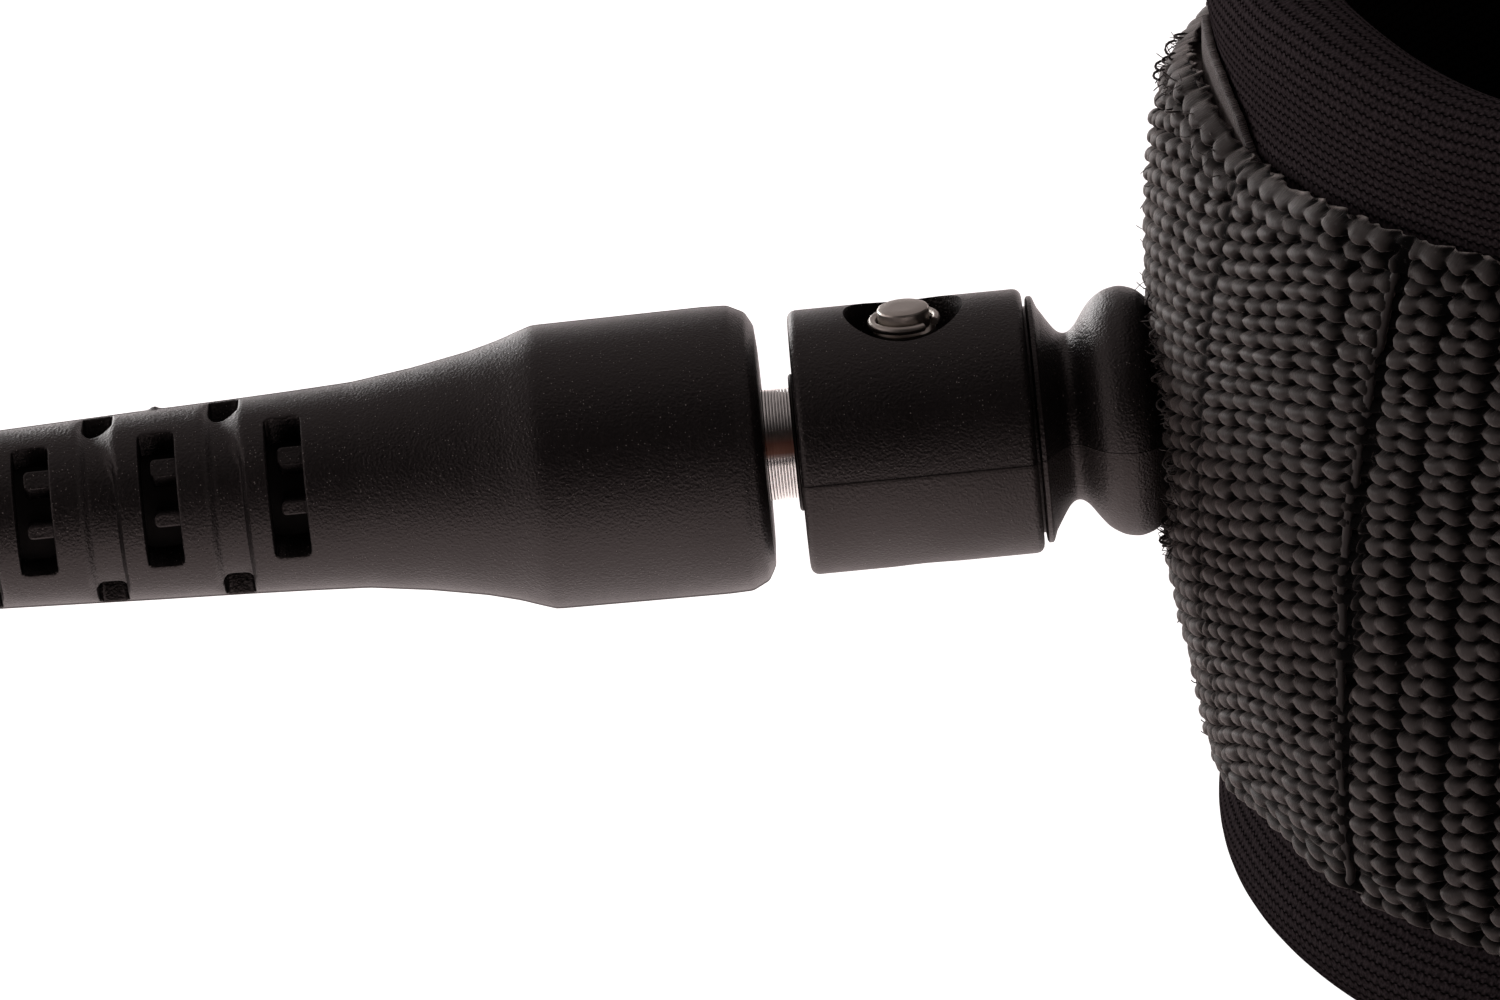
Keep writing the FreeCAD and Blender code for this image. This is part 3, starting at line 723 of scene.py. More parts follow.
swivel = {
    "face": -45.0,
    "hornBore": ((-43.2, 0.4), (-43.2, 3.4)),
    "flange": (
        (-43.6, 3.6), (-43.9, 4.4), (-44.5, 5.25), (-45.2, 5.95), (-46.0, 6.2), (-46.8, 6.05), (-47.5, 5.6),
        (-48.0, 4.95),
        (-48.4, 4.35), (-48.85, 4.02), (-49.25, 4.2), (-49.6, 4.7), (-50.1, 5.5),
    ),
    "collar": (
        (-50.1, 5.5), (-50.28, 5.98), (-50.36, 6.08), (-50.56, 6.08), (-50.64, 5.95), (-50.68, 5.6),
        (-50.85, 5.6), (-50.85, 0.4),
    ),
    "barrelStart": -50.8,
    "barrelEnd": -62.38,
    "barrelRadius": 6.5,
    "barrelStep": 0.08,
    "barrelEdge": 0.42,
    "barrelCore": 0.5,
    "pinX": -56.65,
    "wellRadius": 2.95,
    "wellFloor": 4.2,
    "wellTop": 9.0,
    "wellEdge": 0.07,
    "pinRadius": 1.55,
    "pinTop": 6.57,
    "pinHead": 1.28,
    "ringLow": 5.62,
    "ringHigh": 6.04,
    "ringOuter": 1.8,
    "ringGap": 34.0,
    "ringTurn": 38.0,
    "shaftRadius": 2.75,
    "shaftGroove": 0.03,
    "shaftPitch": 0.16,
    "shaftShown": (-61.6, -66.0),
    "shaftEnds": (-60.0, -70.6),
    "shaftBore": 0.3,
    "washerRadius": 3.4,
    "washerThickness": 0.24,
    "washerBore": 2.78,
}


def roundedBar(s, radius):
    # the barrel's outline, with rounded rims, from its bore at one end to its bore at the other
    start, end, edge, core = s["barrelEnd"], s["barrelStart"], s["barrelEdge"], s["barrelCore"]
    bend = [math.radians(a) for a in (0, 22.5, 45, 67.5, 90)]
    low = [(start + edge - edge * math.cos(a), radius - edge + edge * math.sin(a)) for a in bend]
    high = [(end - edge + edge * math.sin(a), radius - edge + edge * math.cos(a)) for a in bend]
    return [(start, core), *low, *high, (end, core)]


def mouldHalves(sides, step):
    # the lower half of a moulding stands out by a step and is painted paler, as painted light from the floor below
    angle = np.linspace(0, math.pi, sides // 2 + 1)
    return (angle, 0.0, "moulded"), (angle + math.pi, step, "lower")


def makeBarrel(name, s, move, sides):
    halves = []
    for angle, step, finish in mouldHalves(sides, s["barrelStep"]):
        body = turnedPiece(name, roundedBar(s, s["barrelRadius"] + step), angle)
        for side in (1, -1):
            z = side * np.array([[s["wellFloor"]], [s["wellTop"]]])
            well = gridPiece("well", uprightGrid(s["wellRadius"], fullTurn(96), z, s["pinX"]))
            applyModifier(body, "BOOLEAN", object=well, operation="DIFFERENCE", solver="EXACT")
            bpy.data.objects.remove(well)
        applyModifier(
            body, "BEVEL", width=s["wellEdge"] * mm, segments=2, limit_method="ANGLE", angle_limit=math.radians(50))
        shadeSmooth(body, 32)
        halves.append(dress(body, finish))
    return joinPieces(name, halves, move)


def makeHorn(name, s, move, sides):
    flange = roundedProfile(roundedProfile(s["flange"], 0.06, 0.4), 0.06, 0.4)
    outline = np.vstack([s["hornBore"], flange[:-2], s["collar"]])
    halves = []
    for angle, step, finish in mouldHalves(sides, s["barrelStep"] / 2):
        profile = outline.copy()
        profile[2:-3, 1] += step
        halves.append(dress(turnedPiece(name, profile, angle, move, 40), finish))
    return joinPieces(name, halves)


def makePin(name, s, move):
    r, head, top = s["pinRadius"], s["pinHead"], s["pinTop"] - 0.02
    rim = ((0.0, 0.02), (0.0, 0.6), (0.0, head - 0.16), (0.05, head - 0.05), (0.13, head))
    outline = [(top - depth, radius) for depth, radius in (*rim, (1.0, head), (1.1, r), (1.2, r))]
    z, radius = np.array(outline + [(-z, radius) for z, radius in outline[::-1]]).T[..., None]
    grid = uprightGrid(radius, fullTurn(72), z, s["pinX"])
    return dress(moved(gridPiece(name, grid, sharpOver=28, flip=True), move), "pin")


def makeRings(name, s, move):
    # a split ring round each end of the pin, round in section
    thick = (s["ringHigh"] - s["ringLow"]) / 2
    turn = np.radians(np.linspace(s["ringGap"] / 2, 360 - s["ringGap"] / 2, 90) - s["ringTurn"])[:, None]
    bend = fullTurn(14)
    radius = s["ringOuter"] - thick + thick * np.cos(bend)
    height = (s["ringHigh"] + s["ringLow"]) / 2 + thick * np.sin(bend)
    parts = [
        gridPiece("ring", uprightGrid(radius, turn, side * height, s["pinX"]), sharpOver=45) for side in (1, -1)]
    return dress(joinPieces(name, parts, move), "pin")


def makeShaft(name, s, move, sides):
    # fine turned grooves on the part that shows between barrel and boot
    start, end = s["shaftShown"]
    x = np.linspace(start, end, round((start - end) / s["shaftPitch"] * 10))
    ripple = np.abs(np.sin(math.pi * (x - start) / s["shaftPitch"])) ** 0.4
    radius = s["shaftRadius"] - s["shaftGroove"] * (1 - ripple)
    first, last = s["shaftEnds"]
    outline = [(first, s["shaftBore"]), (first, s["shaftRadius"]), *zip(x, radius)]
    outline += [(last, s["shaftRadius"]), (last, s["shaftBore"])]
    return dress(turnedPiece(name, outline, fullTurn(sides), move, 60), "shaft")


def makeWasher(name, s, move):
    r, t, bore, x = s["washerRadius"], s["washerThickness"], s["washerBore"], s["barrelEnd"]
    outline = [(x, bore), (x, r - 0.1), (x - 0.08, r), (x - t + 0.1, r), (x - t, r - 0.1), (x - t, bore)]
    return dress(turnedPiece(name, roundedProfile(outline, 0.04, 0.06), fullTurn(72), move, 50), "washer")


farMove = tuple(a - b for a, b in zip(cord["farTip"], cord["tip"]))


def makeSwivel(end, move, fine):
    sides = 192 if fine else 96
    sleeve = makeBoot(end + "Boot", boot, move, 1.0 if fine else 2.2)
    pieces = [
        enter(sleeve, "cord_end" if end == "cuff" else "board_end", "boot", end + "_boot"),
        enter(makeBarrel(end + "Barrel", swivel, move, sides), "cuff", "moulded", end + "_swivel_barrel"),
        enter(makeHorn(end + "Horn", swivel, move, sides), "cuff", "moulded", end + "_horn"),
        enter(makePin(end + "Pin", swivel, move), "cuff", "pin_steel", end + "_cross_pin"),
        enter(makeShaft(end + "Shaft", swivel, move, sides), "cuff", "shaft_steel", end + "_swivel_shaft"),
    ]
    if fine:
        enter(makeRings(end + "Rings", swivel, move), "cuff", "pin_steel", end + "_pin_rings")
        enter(makeWasher(end + "Washer", swivel, move), "cuff", "washer", end + "_shaft_washer")
    return pieces


makeSwivel("cuff", (0, 0, 0), True)
boardSwivel = makeSwivel("board", farMove, False)
print("swivels built")


# ---- cuff: angle in degrees round the ankle, 180 is the horn's side; z in mm

strap = {
    "radius": 44.0,
    "thickness": 1.8,
    "width": 38.0,
    "start": 0.0,
    "rowPitch": 1.0,
    "columnPitch": 1.75,
    "knuckle": 0.62,
    "pit": 0.5,
    "skew": 0.22,
    "lean": 0.3,
    "skewInRow": 0.1,
    "bead": 0.5,
    "neck": 0.23,
    "neckRise": 0.13,
    "rowRise": ((150, 0), (180, 4.4), (205, 9.4), (236, 13.6), (350, 13.6)),
    "pairs": ((150, 1.0), (156, 0.0), (210, 0.0), (214, 1.0)),
    "unevenness": 0.3,
    "hornPull": 1.0,
    "hornPullAngle": 20.0,
    "seenFrom": (128, 150),
    "seenTo": (300, 330),
    "frontFrom": (192, 214),
    "leanHorn": (
        (-19, 1.75), (-16, 1.3), (-12, 0.8), (-8, 0.3), (0, 0.2), (8, 0.5), (12, 0.85), (16, 1.5),
        (18, 2.2), (19, 2.9),
    ),
    "leanFront": ((-19, 1.1), (-16, 0.7), (-12, 0.35), (0, 0.1), (12, 0.4), (16, 0.8), (19, 1.45)),
    "topDrop": (
        (110, 0), (140, 1.0), (165, 2.2), (172, 1.9), (179, 1.1), (184, 0.9), (190, 1.4), (195, 2.2),
        (205, 2.2), (210, 1.9),
        (230, 2.4), (300, 2.4), (330, 0),
    ),
    "bottomLift": (
        (110, 0), (180, 0), (188, 0.3), (194, 0.9), (200, 0.9), (205, 0.4), (220, 0.2), (300, 0.2),
        (330, 0),
    ),
    "seams": (
        {
            "line": ((-19, 208.2), (0, 212.8), (17, 218.8)),
            "depth": 0.7, "width": 0.34, "thread": 0.3,
            "holes": ((-18.0, 0.8), (-6.5, 0.4), (4.5, 0.4), (13.5, 0.5)),
        },
        {
            "line": ((-16.3, 188.6), (-7, 191.5), (4, 194.7), (15, 198.2)),
            "depth": 0.12, "width": 0.2, "thread": 0.2, "holes": (),
        },
    ),
    "frontSamples": 9,
    "backSamples": 5,
}

plainWeave = dict(strap, rowRise=((0, 0), (1, 0)), pairs=((0, 0), (1, 0)))
up = np.array([0.0, 0.0, 1.0])


def weaveHeight(w, u, v, width):
    # rows of beads that hang together by thin necks, over deep pits; u runs along the strap, v across it, in mm
    table = np.random.default_rng(7).random((5, 64, 512))
    angle = np.degrees(u / strap["radius"]) - 20
    inner = smoothStep(width / 2 - 1.7, width / 2 - 2.1, np.abs(v))  # the rims keep to two rows of their own
    rise = along(w["rowRise"], angle) * (inner > 0)
    rowPlace = (v - rise) / w["rowPitch"] + 0.07 * np.sin(u / 2.3) * np.sin(v / 3.1 + u / 9)
    row = np.floor(rowPlace)
    inRow = rowPlace - row - 0.5
    leaned = (u - w["skew"] * (row + 0.5) * w["rowPitch"] + w["lean"] * inRow * w["rowPitch"]) / w["columnPitch"]
    column = np.floor(leaned)
    r = (row.astype(int) % 64, column.astype(int) % 512)
    inColumn = leaned - column - 0.5 + 0.2 * (table[1][r] - 0.5)
    inRow = inRow + 0.12 * (table[2][r] - 0.5)
    toNeck = np.clip(np.abs(2.1 * inColumn), 0, 1) ** 2
    # beads go in pairs on the drawn-out part of the strap, with no neck from one pair to the next
    between = along(w["pairs"], angle) * ((column % 2 == 0) == (inColumn < 0)) * toNeck
    neck = w["neck"] * (0.4 + 1.2 * table[3][r])
    half = (w["bead"] * (1 - toNeck) + neck * toNeck) * (1 - 0.75 * between)
    crest = w["neckRise"] * toNeck - w["skewInRow"] * 2 * inColumn * (1 - toNeck)
    peak = (1 - w["unevenness"] * table[0][r]) * (1 - 0.32 * toNeck) * (1 - 0.85 * between)
    away = np.abs((inRow - crest) / np.maximum(half, 0.05))
    ridge = np.sqrt(np.maximum(1 - away ** 2.4, 0))
    height = w["knuckle"] * peak * ridge - w["pit"] * (1 - peak * ridge) * np.clip(away - 0.9, 0, 1)
    return height * np.where(inner > 0, inner, 1)


def pileHeight(w, u, v, width):
    # a thick pile: uneven tufts close together
    table = np.random.default_rng(5).random((3, 64, 256))
    a, b = u / w["columnPitch"], v / w["rowPitch"]
    r = (np.floor(b).astype(int) % 64, np.floor(a).astype(int) % 256)
    tuft = np.hypot((a % 1) - 0.5 + 0.35 * (table[0][r] - 0.5), (b % 1) - 0.5 + 0.35 * (table[1][r] - 0.5))
    return w["knuckle"] * (0.5 + table[2][r]) * np.maximum(1 - (1.7 * tuft) ** 2, 0)


def unmoved(u, v):
    return 0.0, 0.0, 1.0, 0.0


def strapPiece(name, w, centre, outward, across, width, thickness, samples, relief=weaveHeight, shape=unmoved):
    # centre: points on the outer face's middle line; the weave stands on the side that outward gives
    length = lengthsAlong(centre)
    u = np.arange(0, length[-1], w["columnPitch"] / samples)
    u[-1] = length[-1]
    line, normal = sampled(centre, length, u)[:, None], sampled(outward, length, u)[:, None]
    normal /= np.linalg.norm(normal, axis=2)[..., None]
    u = u[:, None]
    v = np.arange(-width / 2, width / 2 + 1e-6, w["rowPitch"] / samples)
    height = relief(w, u + w["start"], v, width)
    edge = smoothStep(width / 2, width / 2 - 0.5 * w["rowPitch"], np.abs(v))
    offset = height * (0.6 + 0.4 * edge) - 0.5 * w["knuckle"] * (2 - edge)
    out, aside, flat, dark = shape(u, v)
    outer = line + normal * (offset * flat + out)[..., None] + across * (v + aside)[..., None]
    backV = np.array([0.5 * width - 0.7, 0.5 * width - 1.1, 0.25 * width])
    backV = np.r_[backV, 0.0, -backV[::-1]]
    backDepth = -thickness * np.array([0.5, 1, 1, 1, 1, 1, 0.5])
    out, aside = shape(u, backV)[:2]
    inner = line + normal * (backDepth + out)[..., None] + across * (backV + aside)[..., None]
    uvs = stacked(u, np.r_[v, backV + width])
    piece = gridPiece(name, np.concatenate([outer, inner], axis=1), uvs=uvs)
    # painted shade: the strap's back gets a low share, and the weave's pits, seams and holes a share from height,
    # flat and dark, which the woven finish darkens
    raised = np.full(uvs.shape[:2], 0.32)
    raised[:, :len(v)] = height / w["knuckle"] * flat - dark
    return markRaised(piece, raised)


def ringLine(radius, start, end, step=0.25):
    outward = uprightGrid(1.0, np.radians(np.arange(start, end + step / 2, step)), 0.0)
    return outward * radius, outward


def cuffShape(w, start):
    # the strap is drawn out at the horn, leans in at its rims, and dips along its seams
    def shape(u, v):
        angle = start + np.degrees(u / w["radius"]) + 0 * v
        v = v + 0 * u
        visible = smoothStep(*w["seenFrom"], angle) * (1 - smoothStep(*w["seenTo"], angle))
        front = smoothStep(*w["frontFrom"], angle)
        out = w["hornPull"] * np.exp(-(((angle - 180) / w["hornPullAngle"]) ** 2))
        out = out - visible * (along(w["leanHorn"], v) * (1 - front) + along(w["leanFront"], v) * front)
        across = along(w["bottomLift"], angle) * smoothStep(0, w["width"] / 2, -v)
        across = across - along(w["topDrop"], angle) * smoothStep(0, w["width"] / 2, v)
        flat, dark = np.ones_like(out), np.zeros_like(out)
        for seam in w["seams"]:
            away = np.radians(angle - along(seam["line"], v)) * w["radius"]
            groove = np.exp(-((away / seam["width"]) ** 2))
            ridge = np.exp(-(((away + seam["width"] + seam["thread"]) / seam["thread"]) ** 2))
            out = out - seam["depth"] * groove
            # painted shade: flat and dark darken the seam's groove and the strip beside its thread
            flat = flat * (1 - 0.9 * groove) * (1 - 0.35 * ridge)
            dark = dark + groove * min(1, 2 * seam["depth"])
            for place, size in seam["holes"]:
                hole = np.exp(-(((away / size) ** 2 + ((v - place) / size) ** 2) ** 2))
                out = out - 0.8 * hole
                # painted shade: the needle holes are darkened
                dark = dark + 1.5 * hole
        return out, across, flat, dark
    return shape


def makeStrap(name, start, end, samples):
    weave = dict(strap, start=math.radians(start + 20) * strap["radius"])
    piece = strapPiece(
        name, weave, *ringLine(strap["radius"], start, end), up, strap["width"], strap["thickness"], samples,
        shape=cuffShape(strap, start))
    return dress(piece, "webbing")


enter(makeStrap("strapBehind", 110.0, 166.0, strap["backSamples"]), "cuff", "webbing", "cuff_band")
enter(makeStrap("strapHorn", 166.0, 236.0, strap["frontSamples"]), "cuff", "webbing", "cuff_band")
enter(makeStrap("strapFar", 236.0, 351.6, strap["backSamples"]), "cuff", "webbing", "cuff_band")
strapArm = makeStrap("strapArm", -7.6, 110.0, strap["backSamples"])
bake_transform(strapArm)
enter(strapArm, None, "webbing", "cuff_band_arm")
print("strap woven")


pad = {
    "outline": (
        (41.6, -16.0), (41.5, -17.5), (42.3, -19.0), (43.4, -20.4), (43.9, -21.8), (43.8, -23.3),
        (42.8, -24.6), (40.6, -25.0),
        (37.9, -24.7), (36.6, -23.6), (36.2, -21.8), (36.2, 0.0), (36.2, 19.5), (36.5, 21.8), (37.4, 23.5),
        (38.7, 24.2), (40.0, 23.9), (40.8, 22.8), (41.1, 21.0), (40.9, 19.0), (40.9, 17.0), (41.7, 13.0),
        (42.1, 0.0),
    ),
    "softness": 0.8,
    "step": 0.4,
    "angleStep": 1.0,
    "uvRadius": 42.2,
    "liningRadius": 36.5,
    "liningReach": 22.0,
    "leanAngle": 186.0,
    "leanSpread": 26.0,
    "leans": ((2.0, (10, 22), (41.5, 38)), (0.5, (8, 17), (40, 41)), (0.6, (-17, -20), (41, 43))),
    "topDrop": 1.1,
    "dropFrom": (200, 226),
    "dropTo": (290, 340),
    "dropHeights": (12, 22),
}


def makePad(name, p, start, end):
    section = roundedProfile(p["outline"] + p["outline"][:1], p["step"], p["softness"])[:-1]
    r, z = section.T
    angle = np.arange(start, end + p["angleStep"] / 2, p["angleStep"])[:, None]
    angle[-1] = end
    # the rims lean in beside the horn, and the top is lower in front
    near = np.exp(-(((angle - p["leanAngle"]) / p["leanSpread"]) ** 2))
    radius = r
    for amount, heights, radii in p["leans"]:
        radius = radius - amount * near * smoothStep(*heights, z) * smoothStep(*radii, r)
    lower = smoothStep(*p["dropFrom"], angle) * (1 - smoothStep(*p["dropTo"], angle))
    grid = uprightGrid(radius, np.radians(angle), z - p["topDrop"] * lower * smoothStep(*p["dropHeights"], z))
    uvs = stacked(np.radians(angle) * p["uvRadius"], lengthsAlong(np.vstack([section, section[:1]])))
    wrapped = np.concatenate([grid, grid[:, :1]], axis=1)
    piece = dress(gridPiece(name, wrapped, closed=False, caps=False, uvs=uvs), "neoprene")
    # painted shade: the inner face of the pad, inside the cuff, gets the near-black copy of the knit
    piece.data.materials.append(finishes["lining"])
    inside = (r < p["liningRadius"]) & (np.abs(z) < p["liningReach"])
    piece.data.polygons.foreach_set("material_index", np.tile(inside.astype(np.int32), len(angle) - 1))
    return piece


padBase = enter(makePad("padBase", pad, 110.0, 351.6), "cuff", "neoprene", "ankle_pad")
padArm = makePad("padArm", pad, -7.6, 110.0)
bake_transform(padArm)
enter(padArm, None, "neoprene", "ankle_pad_arm")
print("pad knitted")


# ---- raw edge of the strap's backing, threads and loose fibres

trim = {
    "tapeAngles": (178.5, 207.5),
    "tapeRadius": 41.15,
    "tapeThickness": 0.5,
    "tapeTop": ((178, 19.7), (188, 18.85), (193, 17.85), (196, 16.6), (200, 15.5), (207, 15.0)),
    "tapeLow": 14.5,
    "threadRadius": 0.24,
    "threadAside": -0.55,
    "threadRise": -0.26,
    "dip": 4.4,
    "fibres": 260,
    "fibreRadius": 0.032,
    "loops": 26,
}


def threadPiece(name, lines, body, sides):
    # round threads along lines of (points, radius), in one mesh
    points, faces = [], []
    turn = fullTurn(sides)[:, None]
    for line, radius in lines:
        line = np.asarray(line, float)
        ahead = headings(line)
        aside = np.cross(ahead, np.array([0.31, 0.17, 0.93]))
        aside /= np.linalg.norm(aside, axis=1)[:, None]
        above = np.cross(ahead, aside)
        thick = np.full((len(line), 1, 1), float(radius))
        thick[[0, -1]] *= 0.4
        first = len(points) * sides
        points.extend(line[:, None] + (np.cos(turn) * aside[:, None] + np.sin(turn) * above[:, None]) * thick)
        faces += gridFaces(len(line), sides, first=first)
        last = len(points) * sides - sides
        faces += [list(range(first, first + sides))[::-1], list(range(last, last + sides))]
    piece = meshPiece(name, np.concatenate(points), faces)
    return enter(markRaised(dress(piece, "thread")), body, "webbing")


def onStrap(angle, v, above):
    # a place on the strap's outer face, with the strap's own lean and dip
    out, across = cuffShape(dict(strap, seams=()), 0.0)(np.radians(angle) * strap["radius"], v)[:2]
    return uprightGrid(strap["radius"] + out + above, np.radians(angle), v + across)


def makeTape(t):
    angle = np.arange(*t["tapeAngles"], 0.5)[:, None]
    top = along(t["tapeTop"], angle) + 0.05 * np.sin(angle * 9)
    inner, outer = t["tapeRadius"] - t["tapeThickness"], t["tapeRadius"]
    radius = np.array([outer, outer, outer - 0.08, inner + 0.08, inner, inner])
    onTop = np.array([0, 1, 1, 1, 1, 0])
    lean = radius - 0.09 * np.maximum(top - 16.0, 0) * onTop
    z = np.where(onTop, top + np.array([0, -0.25, 0, 0.03, -0.2, 0]), t["tapeLow"])
    grid = uprightGrid(lean, np.radians(angle), z)
    tape = gridPiece("backingEdge", grid, uvs=stacked(angle * 0.72, z), flip=True)
    return enter(markRaised(dress(tape, "edge")), "cuff", "webbing")


def makeSeamThread(t):
    seam = strap["seams"][0]
    v = np.arange(-18.4, 17.6, 0.25)
    v = v[(v > seam["line"][0][0]) & (v < seam["line"][-1][0] + 0.8)]
    turn = 2 * math.pi * v / t["dip"]
    angle = along(seam["line"], v) + math.degrees(t["threadAside"] / strap["radius"]) + 0.06 * np.sin(turn)
    line = onStrap(angle, v, t["threadRise"] - 0.12 * smoothStep(0.6, 1.0, np.cos(turn)))
    threadPiece("seamThreads", [(line, t["threadRadius"])], "cuff", 8)


def makeFibres(t):
    # loops pulled up round the horn's hole, and short ends of broken filament
    pick = random.Random(11)
    lines = []
    for i in range(t["loops"] + t["fibres"]):
        loop = i < t["loops"]
        if i % 8 < 5:
            turn, far = math.radians(pick.uniform(-80, 85)), pick.uniform(6.0, 6.9 if loop else 7.6)
            angle, v = 180 + math.degrees(far * math.cos(turn) / 45), far * math.sin(turn)
        elif i % 8 == 5:
            angle, v = pick.uniform(173, 186), pick.uniform(-18, 18)
        else:
            angle, v = pick.uniform(170, 196), 18.3 + pick.uniform(-0.6, 0.5)
        start = Vector(onStrap(np.array([angle]), np.array([v]), 0.05)[0])
        size = pick.uniform(0.18, 0.42) if loop else pick.uniform(0.25, 0.8)
        heading = Vector([pick.gauss(0, 1) for k in range(3)]).normalized()
        outward = Vector(compass(angle)[0])
        bend = outward.cross(heading).normalized()
        way = (outward * pick.uniform(0.3, 1) + heading * 0.8).normalized()
        line = []
        for s in (k / 8 for k in range(9)):
            if loop:
                a = math.pi * (1.25 * s - 0.12)
                line.append(start + bend * size * math.cos(a) + outward * size * math.sin(a) * 1.3)
            else:
                line.append(start + way * size * s + bend * size * 0.5 * s * s)
        lines.append((line, t["fibreRadius"] * (2.2 if loop else pick.uniform(0.6, 1.1))))
    threadPiece("strayFibres", lines, "cuff", 5)


makeTape(trim)
makeSeamThread(trim)
makeFibres(trim)
print("threads laid")


# ---- closing flap, its patches and its tab, on the side away from the horn

closure = {
    "outerRadius": 48.2,
    "thickness": 1.6,
    "height": 36.0,
    "flapEnd": -60.0,
    "foldAngle": 13.4,
    "foldRadius": 2.0,
    "rootEnd": 8.0,
    "loop": {"face": 45.0, "back": 1.0, "start": -74.0, "end": -12.0, "height": 34.0},
    "hook": {"face": 45.45, "back": 1.1, "start": -54.0, "end": -16.0, "height": 32.0},
    "tab": {"face": 49.6, "back": 1.4, "start": -66.0, "end": -56.0, "height": 22.0},
    "samples": 4,
}


def flapLine(c):
    # along the outside of the flap, round the fold at its root, and back under it
    line, outward = ringLine(c["outerRadius"], c["flapEnd"], c["foldAngle"])
    radial, ahead = compass(c["foldAngle"])
    bend = np.radians(np.arange(10, 180, 10))[:, None]
    way = np.cos(bend) * radial + np.sin(bend) * ahead
    middle = radial * (c["outerRadius"] - c["foldRadius"])
    under, inward = ringLine(c["outerRadius"] - 2 * c["foldRadius"], c["rootEnd"], c["foldAngle"])
    return (
        np.vstack([line, middle + way * c["foldRadius"], under[::-1]]),
        np.vstack([outward, way, -inward[::-1]]),
    )


def makePatch(name, part, weave, relief=pileHeight, facing=1):
    line, outward = ringLine(part["face"], part["start"], part["end"])
    return strapPiece(
        name, weave, line[::facing], facing * outward[::facing], up, part["height"], part["back"],
        closure["samples"], relief)


flapWeave = dict(plainWeave, pairs=((0, 1), (1, 1)), start=3.0)
flapSize = closure["height"], closure["thickness"], closure["samples"]
flap = dress(strapPiece("flap", flapWeave, *flapLine(closure), up, *flapSize), "webbing")
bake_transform(flap)
enter(flap, None, "webbing", "closure_flap", "flap_root")
loopWeave = dict(strap, rowPitch=0.72, columnPitch=0.72, knuckle=0.4)
hookWeave = dict(strap, rowPitch=1.1, columnPitch=1.1, knuckle=0.5)
tabWeave = dict(plainWeave, rowPitch=0.8, columnPitch=1.2, knuckle=0.2)
loopPatch = dress(makePatch("loopPatch", closure["loop"], loopWeave), "loop")
hookPatch = dress(makePatch("hookPatch", closure["hook"], hookWeave, facing=-1), "hook")
pullTab = dress(makePatch("pullTab", closure["tab"], tabWeave, weaveHeight), "webbing")
enter(loopPatch, "cuff", "loop_pile", "loop_patch")
enter(hookPatch, "closure", "hook_tape", "hook_patch")
enter(pullTab, "closure", "webbing", "pull_tab")
print("closure built")


# ---- rail saver: a strap loop on the board end, places from its front face and the floor

saver = {
    "front": farMove[0] + swivel["face"],
    "middle": farMove[1],
    "width": 25.4,
    "thickness": 1.8,
    "frontHeight": 14.6,
    "slopeLength": 30.0,
    "flatHeight": 6.2,
    "neck": 84.0,
    "neckLength": 3.4,
    "neckHeight": 4.1,
    "eyeX": 91.4,
    "eyeRadius": 4.6,
    "softness": 2.0,
    "patch": {"start": 33.3, "length": 44.0, "width": 22.0, "thickness": 1.2, "lower": 3.05, "upper": 3.15},
}


def saverLine(s):
    bend = [math.radians(a) for a in range(165, -95, -15)]
    eye = [(s["eyeX"] + s["eyeRadius"] * math.cos(a), s["eyeRadius"] * (1 + math.sin(a))) for a in bend]
    corners = [
        (s["eyeX"], 0.0), (0.0, 0.0), (0.0, s["frontHeight"]), (2.0, s["frontHeight"]),
        (s["slopeLength"], s["flatHeight"]), (s["neck"], s["flatHeight"]),
        (s["neck"] + s["neckLength"], s["neckHeight"]), *eye,
    ]
    flat = roundedProfile(corners, 0.25, s["softness"])
    ahead, rise = headings(flat).T
    return stacked(flat[:, 0] + s["front"], s["middle"], flat[:, 1] + cord["floor"]), stacked(-rise, 0.0, ahead)


def makeSaver(s):
    across = np.array([0.0, 1.0, 0.0])
    weave = dict(plainWeave, rowPitch=0.95, columnPitch=1.5, knuckle=0.26)
    loop = strapPiece("railSaver", weave, *saverLine(s), across, s["width"], s["thickness"], closure["samples"])
    enter(dress(loop, "webbing"), "cuff", "webbing", "rail_saver")
    p = s["patch"]
    pile = dict(strap, rowPitch=0.8, columnPitch=0.8, knuckle=0.14)
    for name, height, facing in (("saverLoops", p["lower"], 1), ("saverHooks", p["upper"], -1)):
        x = np.arange(0, p["length"], 0.5)[::facing] + s["front"] + p["start"]
        line = stacked(x, s["middle"], cord["floor"] + height)
        outward = stacked(0 * x, 0.0, facing)
        piece = strapPiece(name, pile, line, outward, across, p["width"], p["thickness"], 2, pileHeight)
        enter(dress(piece, "loop"), "cuff", "loop_pile", "saver_patches")


makeSaver(saver)
print("rail saver built")


# ---- stitching: rows of short threads on the closure and the rail saver

stitch = {
    "pitch": 2.7,
    "length": 2.15,
    "radius": 0.19,
    "rise": 0.24,
    "tabAngles": (-56.7, -59.2),
    "tabReach": 9.6,
    "hookBox": (-53.2, -16.8, 15.2),
    "loopBox": (-73.2, -60.5, 15.9),
    "saverPlaces": (31.0, 79.4, 81.6),
}


def uprightRow(radius, angle, reach):
    z = np.arange(-reach, reach + 0.1, 0.4)
    outward = uprightGrid(1.0, math.radians(angle) + 0 * z, 0.0)
    return outward * radius + z[:, None] * up, outward


def roundRow(radius, start, end, z):
    line, outward = ringLine(radius, start, end)
    return line + z * up, outward


def boxRows(radius, box):
    start, end, reach = box
    return [
        roundRow(radius, start, end, reach), roundRow(radius, start, end, -reach),
        uprightRow(radius, start, reach), uprightRow(radius, end, reach),
    ]


